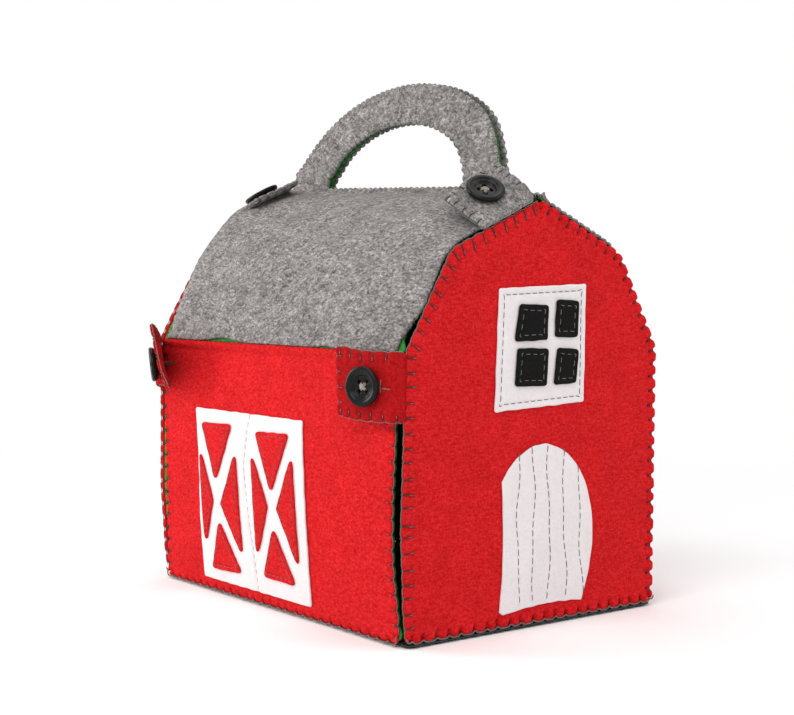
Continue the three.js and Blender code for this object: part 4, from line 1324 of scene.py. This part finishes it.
def tab(name, flap, place, size, material, thread, seed):
    """A buttoned tab: two layers of felt sewn together round the edge with blanket stitches, a
    bound slit, and a stitched cross where the slit ends. Its pieces are built in place and baked
    there, with the points over its first 9 mm passed on as its root."""
    length, width = size["length"], size["width"]
    outline = rounded(rectangle(length / 2, 0, length, width), 2.6)
    swell = lambda flat: 0.35 * waves(*flat.T, 26, seed)
    coarse = spaced(outline, 0.8)
    stitches = stitch_places(coarse, seed, TAB_EDGE, 0.12, lambda point: point[:, 0] > 2.5)
    root = slumped(place(np.array([(0.0, 0.0), (9.0, 0.0)]), np.full(2, 1.8)))
    upper, under = sewn_edge(2.72, 2.5, 4), sewn_edge(1.08, 1.3, 4)
    for layer, middle, thick, step, count in (("front", upper, 1.55, 0.8, 24), ("back", under, 1.5, 1.5, 14)):
        loop = spaced(outline, step)
        loop = loop + 0.25 * waves(*loop.T, 8, seed + 2)[:, None] * inward(loop)
        flat, quads, edge, rim = slot_pattern(loop, slit_points(loop, size), count)
        groove, puff, pull = pucker(flat, stitches, 1.0, 2.2)
        half = bulb(edge, thick) * (1 - 0.3 * groove)
        front, back = middle(edge) + half + swell(flat), middle(edge) - half + swell(flat)
        if layer == "front":
            front = front + (puff * hill(edge, 1.9, 1.9) - groove)
        else:
            back = back + 0.8 * groove
        piece = felt_mesh(f"{name}_{layer}_felt", (flat + pull, quads, rim), front, back, place, material)
        dress(piece, flap, *([name] if layer == "front" else []), root=root)
    outer_skin, inner_skin = skin(upper, 1.55, 1, 0.4), skin(under, 1.5, -1, 0.3)
    cross_at = size["button"] + SLIT_PAST_BUTTON - SLIT_LENGTH
    parts = [
        strands(place, stitches, outer_skin, swell),
        edge_thread(place, coarse, stitches, 1.9, swell, 0.26, keep=lambda point: point[:, 0] > 1.5),
        edge_thread(place, slit_points(coarse, size), None, 3.35, swell, 0.24, -0.35),
    ]
    arch = np.array([-0.5, 0.0, 0.15, 0.25, 0.15, 0.0, -0.5])
    for line in ([(cross_at, 0.4), (cross_at - 6.0, 0.8)], [(cross_at - 0.2, -5.0), (cross_at + 0.3, 4.6)]):
        fine = walked(np.array(line), 7, closed=False)
        parts.append(tube(place(fine, swell(fine) + TAB_FRONT + 0.05 + arch), 0.26))
    sewn(f"{name}_stitches", parts, thread, flap, root)
    # The tab's legs are dark tubes of painted shade at their ends, under the pale strands of its thread.
    legs = thread_legs(place, stitches, outer_skin, inner_skin, swell, TAB_EDGE["radius"])
    sewn(f"{name}_leg_stitches", [legs], DARK_THREAD_AND_SHADE, flap, root)


# Buttons. The profile is (radius, height), from the back's edge over the rim to the floor

BUTTON_FLOOR, BUTTON_FLOOR_RADIUS, BUTTON_SIDES = 1.9, 5.0, 96
BUTTON_PROFILE = np.array([
    (7.6, 0.0), (8.4, 0.2), (9.4, 0.95), (10.0, 1.8), (10.2, 2.6), (10.05, 3.3), (9.6, 3.72), (9.0, 3.86),
    (8.3, 3.84), (7.6, 3.72), (7.1, 3.5), (6.8, 3.2), (6.55, 3.12), (6.3, 3.2), (6.0, 3.1), (5.6, 2.6),
])
HOLE_AT, HOLE_RADIUS = 2.2 * 2**0.5, 1.1


def at_heights(flat, heights):
    """Rings of flat points, each lifted to its height."""
    heights = np.broadcast_to(np.reshape(heights, (-1, 1, 1)), (*flat.shape[:2], 1))
    return np.concatenate([flat, heights], axis=2)


def button_mesh():
    """Points and quads of the button about its back's middle: rings turned about its axis, with a
    dished floor whose four quarters each close in on a round hole."""
    profile = np.vstack([BUTTON_PROFILE * (0.965, 1), (BUTTON_FLOOR_RADIUS, BUTTON_FLOOR)])
    angle = np.arange(BUTTON_SIDES) * 2 * pi / BUTTON_SIDES
    ring = np.stack([np.cos(angle), np.sin(angle)], axis=1)
    turned = at_heights(profile[:, None, :1] * ring, profile[:, 1])
    parts = [(turned.reshape(-1, 3), cells(numbered(*turned.shape[:2])))]
    quarter, t = BUTTON_SIDES // 4, np.linspace(0, 1, 9)[1:, None]
    share = np.array([0, 0.3, 0.6, 0.86, 1.0])[:, None, None]
    for i in range(4):
        arc = turned[-1, np.arange(i * quarter, (i + 1) * quarter + 1) % BUTTON_SIDES, :2]
        direction = pi / 4 + i * pi / 2
        centre = np.array([cos(direction), sin(direction)]) * HOLE_AT
        outline = np.vstack([arc, arc[-1] * (1 - t), arc[0] * t[:-1]])
        around = np.arctan2(outline[:, 1] - centre[1], outline[:, 0] - centre[0])
        rim = centre + HOLE_RADIUS * np.stack([np.cos(around), np.sin(around)], axis=1)
        flat = outline * (1 - share) + rim * share
        wall = np.stack([centre + (rim - centre) * 0.92] * 2)
        grid = np.concatenate([
            at_heights(flat, BUTTON_FLOOR - np.array([0, 0, 0, 0, 0.12])),
            at_heights(wall, (BUTTON_FLOOR - 0.35, 0.1)),
            at_heights(flat[::-1], 0.0),
        ])
        parts.append((grid.reshape(-1, 3), cells(numbered(*grid.shape[:2]))))
    back = np.column_stack([ring * BUTTON_FLOOR_RADIUS, np.zeros(BUTTON_SIDES)])
    parts.append((np.vstack([turned[0], back]), cells(numbered(2, BUTTON_SIDES))[:, [1, 0, 3, 2]]))
    return welded(*merged(parts))


def button(name, body, place, size, shank, seed):
    """A four-hole button on its thread shank, held by two crossed bundles of three strands. It lies
    as its tab does there."""
    middle = size["button"]
    corner = np.array([(middle, 0.0), (middle + 1, 0.0), (middle, 1.0)])
    start, ahead, aside = place(corner, np.full(3, TAB_FRONT + 0.55))
    along = unit(ahead - start)
    out = unit(np.cross(along, aside - start))
    spin = np.random.default_rng(seed).uniform(-0.25, 0.25)
    c, s = cos(spin), sin(spin)
    basis = np.array([[c, s, 0], [-s, c, 0], [0, 0, 1]]) @ np.array([along, np.cross(out, along), out])
    points, faces = button_mesh()
    dress(make_mesh(f"{name}_plastic", start + points @ basis, faces, BUTTON), body, name)
    share = np.linspace(0, 1, 9)
    rise = np.array([-0.9, 0.1, 0.5, 0.62, 0.68, 0.62, 0.5, 0.1, -0.9]) + BUTTON_FLOOR
    strings, shanks = [], []
    for bundle, (i, j) in enumerate(((1, 1), (1, -1))):
        for strand in (-1, 0, 1):
            shift = 0.6 * strand * np.array([-j, i]) / 2**0.5
            line = 1.75 * np.array([i, j]) * (1 - 2 * share[:, None]) + shift
            height = rise + 0.45 * bundle * hill(share, 0.5, 0.2) - 0.12 * abs(strand)
            strings.append(tube(start + np.column_stack([line, height]) @ basis, 0.26))
    z = np.linspace(0.6, -shank, 8)
    for k in range(3):
        twist_and_shade = k * 2 * pi / 3 + z * 0.5
        line = np.column_stack([0.42 * np.cos(twist_and_shade), 0.42 * np.sin(twist_and_shade), z])
        shanks.append(tube(start + line @ basis, 0.45))
    sewn(f"{name}_thread", strings, PALE_THREAD, body)
    sewn(f"{name}_shank", shanks, DARK_THREAD_AND_SHADE, body)


# The barn, piece by piece

for side_name, turn, seed, s in (("front", 0.0, 101, LEFT), ("back", pi, 151, RIGHT)):
    gable(side_name, turn, seed, s)
    for kind, axes, size, shank, felt, thread, body in (
        # The eave tabs take the barn's red darkened as painted shade.
        ("eave", eave_axes(s), EAVE_TAB, 9.6, SHADED_TAB_RED, TAB_THREAD, "left_wall"),
        ("ridge", ridge_axes(s), RIDGE_TAB, 9.0, GREY, GREY_THREAD, "left_roof"),
    ):
        name = f"{side_name}_{kind}"
        place = axes_place(turn, *axes, BENDS[name])
        tab(f"{name}_tab", f"{name}_flap", place, size, felt, thread, seed + 20)
        button(f"{name}_button", body, place, size, shank, seed + 30)


def at_top(point):
    """Along the rolled top of a wall."""
    return point[:, 1] >= EAVE_HEIGHT - 1.5


def at_ends(point):
    """Along the upright ends of a wall."""
    return ~at_foot(point) & ~at_top(point)


WALL_FOOT_AND_TOP = [(at_foot, WALL_FOOT, None, (0.4, BROWN_THREAD, 0.3)), (at_top, ROLL_EDGE, None, None)]
long_wall("left", "left_wall", -pi / 2, 201, (FAR_END, HAND_CUT), [
    (lambda point: at_ends(point) & (point[:, 0] > 0), WALL_END, BROWN_THREAD, (0.27, GREY_THREAD, -0.9)),
    (lambda point: at_ends(point) & (point[:, 0] < 0), WALL_END, BROWN_THREAD, (0.27, DARK_THREAD_AND_SHADE, -0.9)),
    *WALL_FOOT_AND_TOP,
], slipped_corner)
long_wall("right", "sewn_shell", pi / 2, 251, (SEWN_END, SEWN_END), [
    (at_ends, WALL_SEAM, DARK_THREAD_AND_SHADE, None), *WALL_FOOT_AND_TOP,
])
roof_half("left", "left_roof", LEFT, 301)
roof_half("right", "sewn_shell", RIGHT, 351)
base()

base_board = bpy.data.objects["base_board"]
base_board.data.materials.clear()
base_board.data.materials.append(BOARD)


# Floor, light and camera


def stage_material():
    """Pale matt floor near the barn that turns, for the camera, into plain white further out."""
    material, tree, shader, spot = new_material("pale_floor")
    plug(tree, shader, {"Base Color": (0.93, 0.915, 0.905, 1), "Roughness": 1.0, "Specular IOR Level": 0.0})
    away = shader_node(tree, "VectorMath", {0: spot}, operation="LENGTH").outputs["Value"]
    reach = {"From Min": 0.22, "From Max": 0.8, "Value": away}
    far = shader_node(tree, "MapRange", reach, interpolation_type="SMOOTHSTEP").outputs["Result"]
    seen = shader_node(tree, "LightPath", {}).outputs["Is Camera Ray"]
    share = shader_node(tree, "Math", {0: far, 1: seen}, operation="MULTIPLY").outputs["Value"]
    glow = shader_node(tree, "Emission", {"Color": (1, 1, 1, 1), "Strength": 1.0}).outputs["Emission"]
    mix = shader_node(tree, "MixShader", {"Fac": share, 1: shader.outputs["BSDF"], 2: glow})
    plug(tree, tree.nodes["Material Output"], {"Surface": mix.outputs["Shader"]})
    return material


def world_light(strength):
    """Even pale light all round; the camera, and mirrors and glass, see it as plain white."""
    world = bpy.data.worlds.new("studio")
    bpy.context.scene.world = world
    world.use_nodes = True
    tree = world.node_tree
    dim = tree.nodes["Background"]
    plug(tree, dim, {"Color": (0.95, 0.97, 1.0, 1), "Strength": strength})
    bright = shader_node(tree, "Background", {"Color": (1, 1, 1, 1), "Strength": 1.0})
    path = shader_node(tree, "LightPath", {}).outputs
    either = {0: path["Is Camera Ray"], 1: path["Is Glossy Ray"]}
    either = shader_node(tree, "Math", either, operation="MAXIMUM").outputs["Value"]
    any_of = {0: either, 1: path["Is Transmission Ray"]}
    any_of = shader_node(tree, "Math", any_of, operation="MAXIMUM").outputs["Value"]
    inputs = {"Fac": any_of, 1: dim.outputs["Background"], 2: bright.outputs["Background"]}
    mix = shader_node(tree, "MixShader", inputs)
    plug(tree, tree.nodes["World Output"], {"Surface": mix.outputs["Shader"]})


def area_light(name, at, size, power):
    """A square soft light at a point in metres, turned to face the middle of the barn."""
    data = bpy.data.lights.new(name, "AREA")
    data.shape, data.size, data.energy = "SQUARE", size, power
    lamp = bpy.data.objects.new(name, data)
    bpy.context.scene.collection.objects.link(lamp)
    lamp.location = at
    lamp.rotation_mode = "QUATERNION"
    lamp.rotation_quaternion = (Vector((0, 0, 0.12)) - Vector(at)).to_track_quat("-Z", "Y")


def photo_camera():
    """The camera at the photo's viewing angle: its eye in millimetres, its azimuth, elevation and
    roll in degrees."""
    azimuth, elevation, roll = radians(-38.48), radians(2.69), radians(0.453)
    back = Vector((sin(azimuth) * cos(elevation), -cos(azimuth) * cos(elevation), sin(elevation)))
    level = Vector((cos(azimuth), sin(azimuth), 0))
    upright = back.cross(level)
    right = level * cos(roll) + upright * sin(roll)
    up = upright * cos(roll) - level * sin(roll)
    data = bpy.data.cameras.new("photo_camera")
    data.sensor_width, data.lens = 36, 67.784
    data.clip_start, data.clip_end = 0.01, 50
    camera = bpy.data.objects.new("photo_camera", data)
    bpy.context.scene.collection.objects.link(camera)
    eye = Vector((-524.54, -656.51, 170.92)) * MM
    camera.matrix_world = Matrix((*zip(right, up, back, eye), (0, 0, 0, 1)))
    bpy.context.scene.camera = camera


FLOOR_SIDES, FLOOR_RADIUS, FLOOR_HEIGHT = 96, 4000, -0.5
angle = np.arange(FLOOR_SIDES) * 2 * pi / FLOOR_SIDES
disc = np.column_stack([
    FLOOR_RADIUS * np.cos(angle), FLOOR_RADIUS * np.sin(angle), np.full(FLOOR_SIDES, FLOOR_HEIGHT),
])
around, hub = np.arange(FLOOR_SIDES), np.full(FLOOR_SIDES, FLOOR_SIDES)
wedges = np.stack([around, np.roll(around, -1), hub, hub], axis=1)
make_mesh("studio_floor", np.vstack([disc, [(0, 0, FLOOR_HEIGHT)]]), wedges, stage_material())
world_light(0.6)
area_light("key_light", (-1.3, -0.65, 1.25), 1.1, 15.5)
area_light("side_light", (-0.62, 0.58, 0.3), 0.4, 3.6)
area_light("fill_light", (1.1, -1.3, 0.9), 1.4, 9.4)
area_light("top_light", (0.0, 0.1, 1.7), 1.2, 7.5)
photo_camera()
bpy.context.scene.view_settings.view_transform = "Standard"
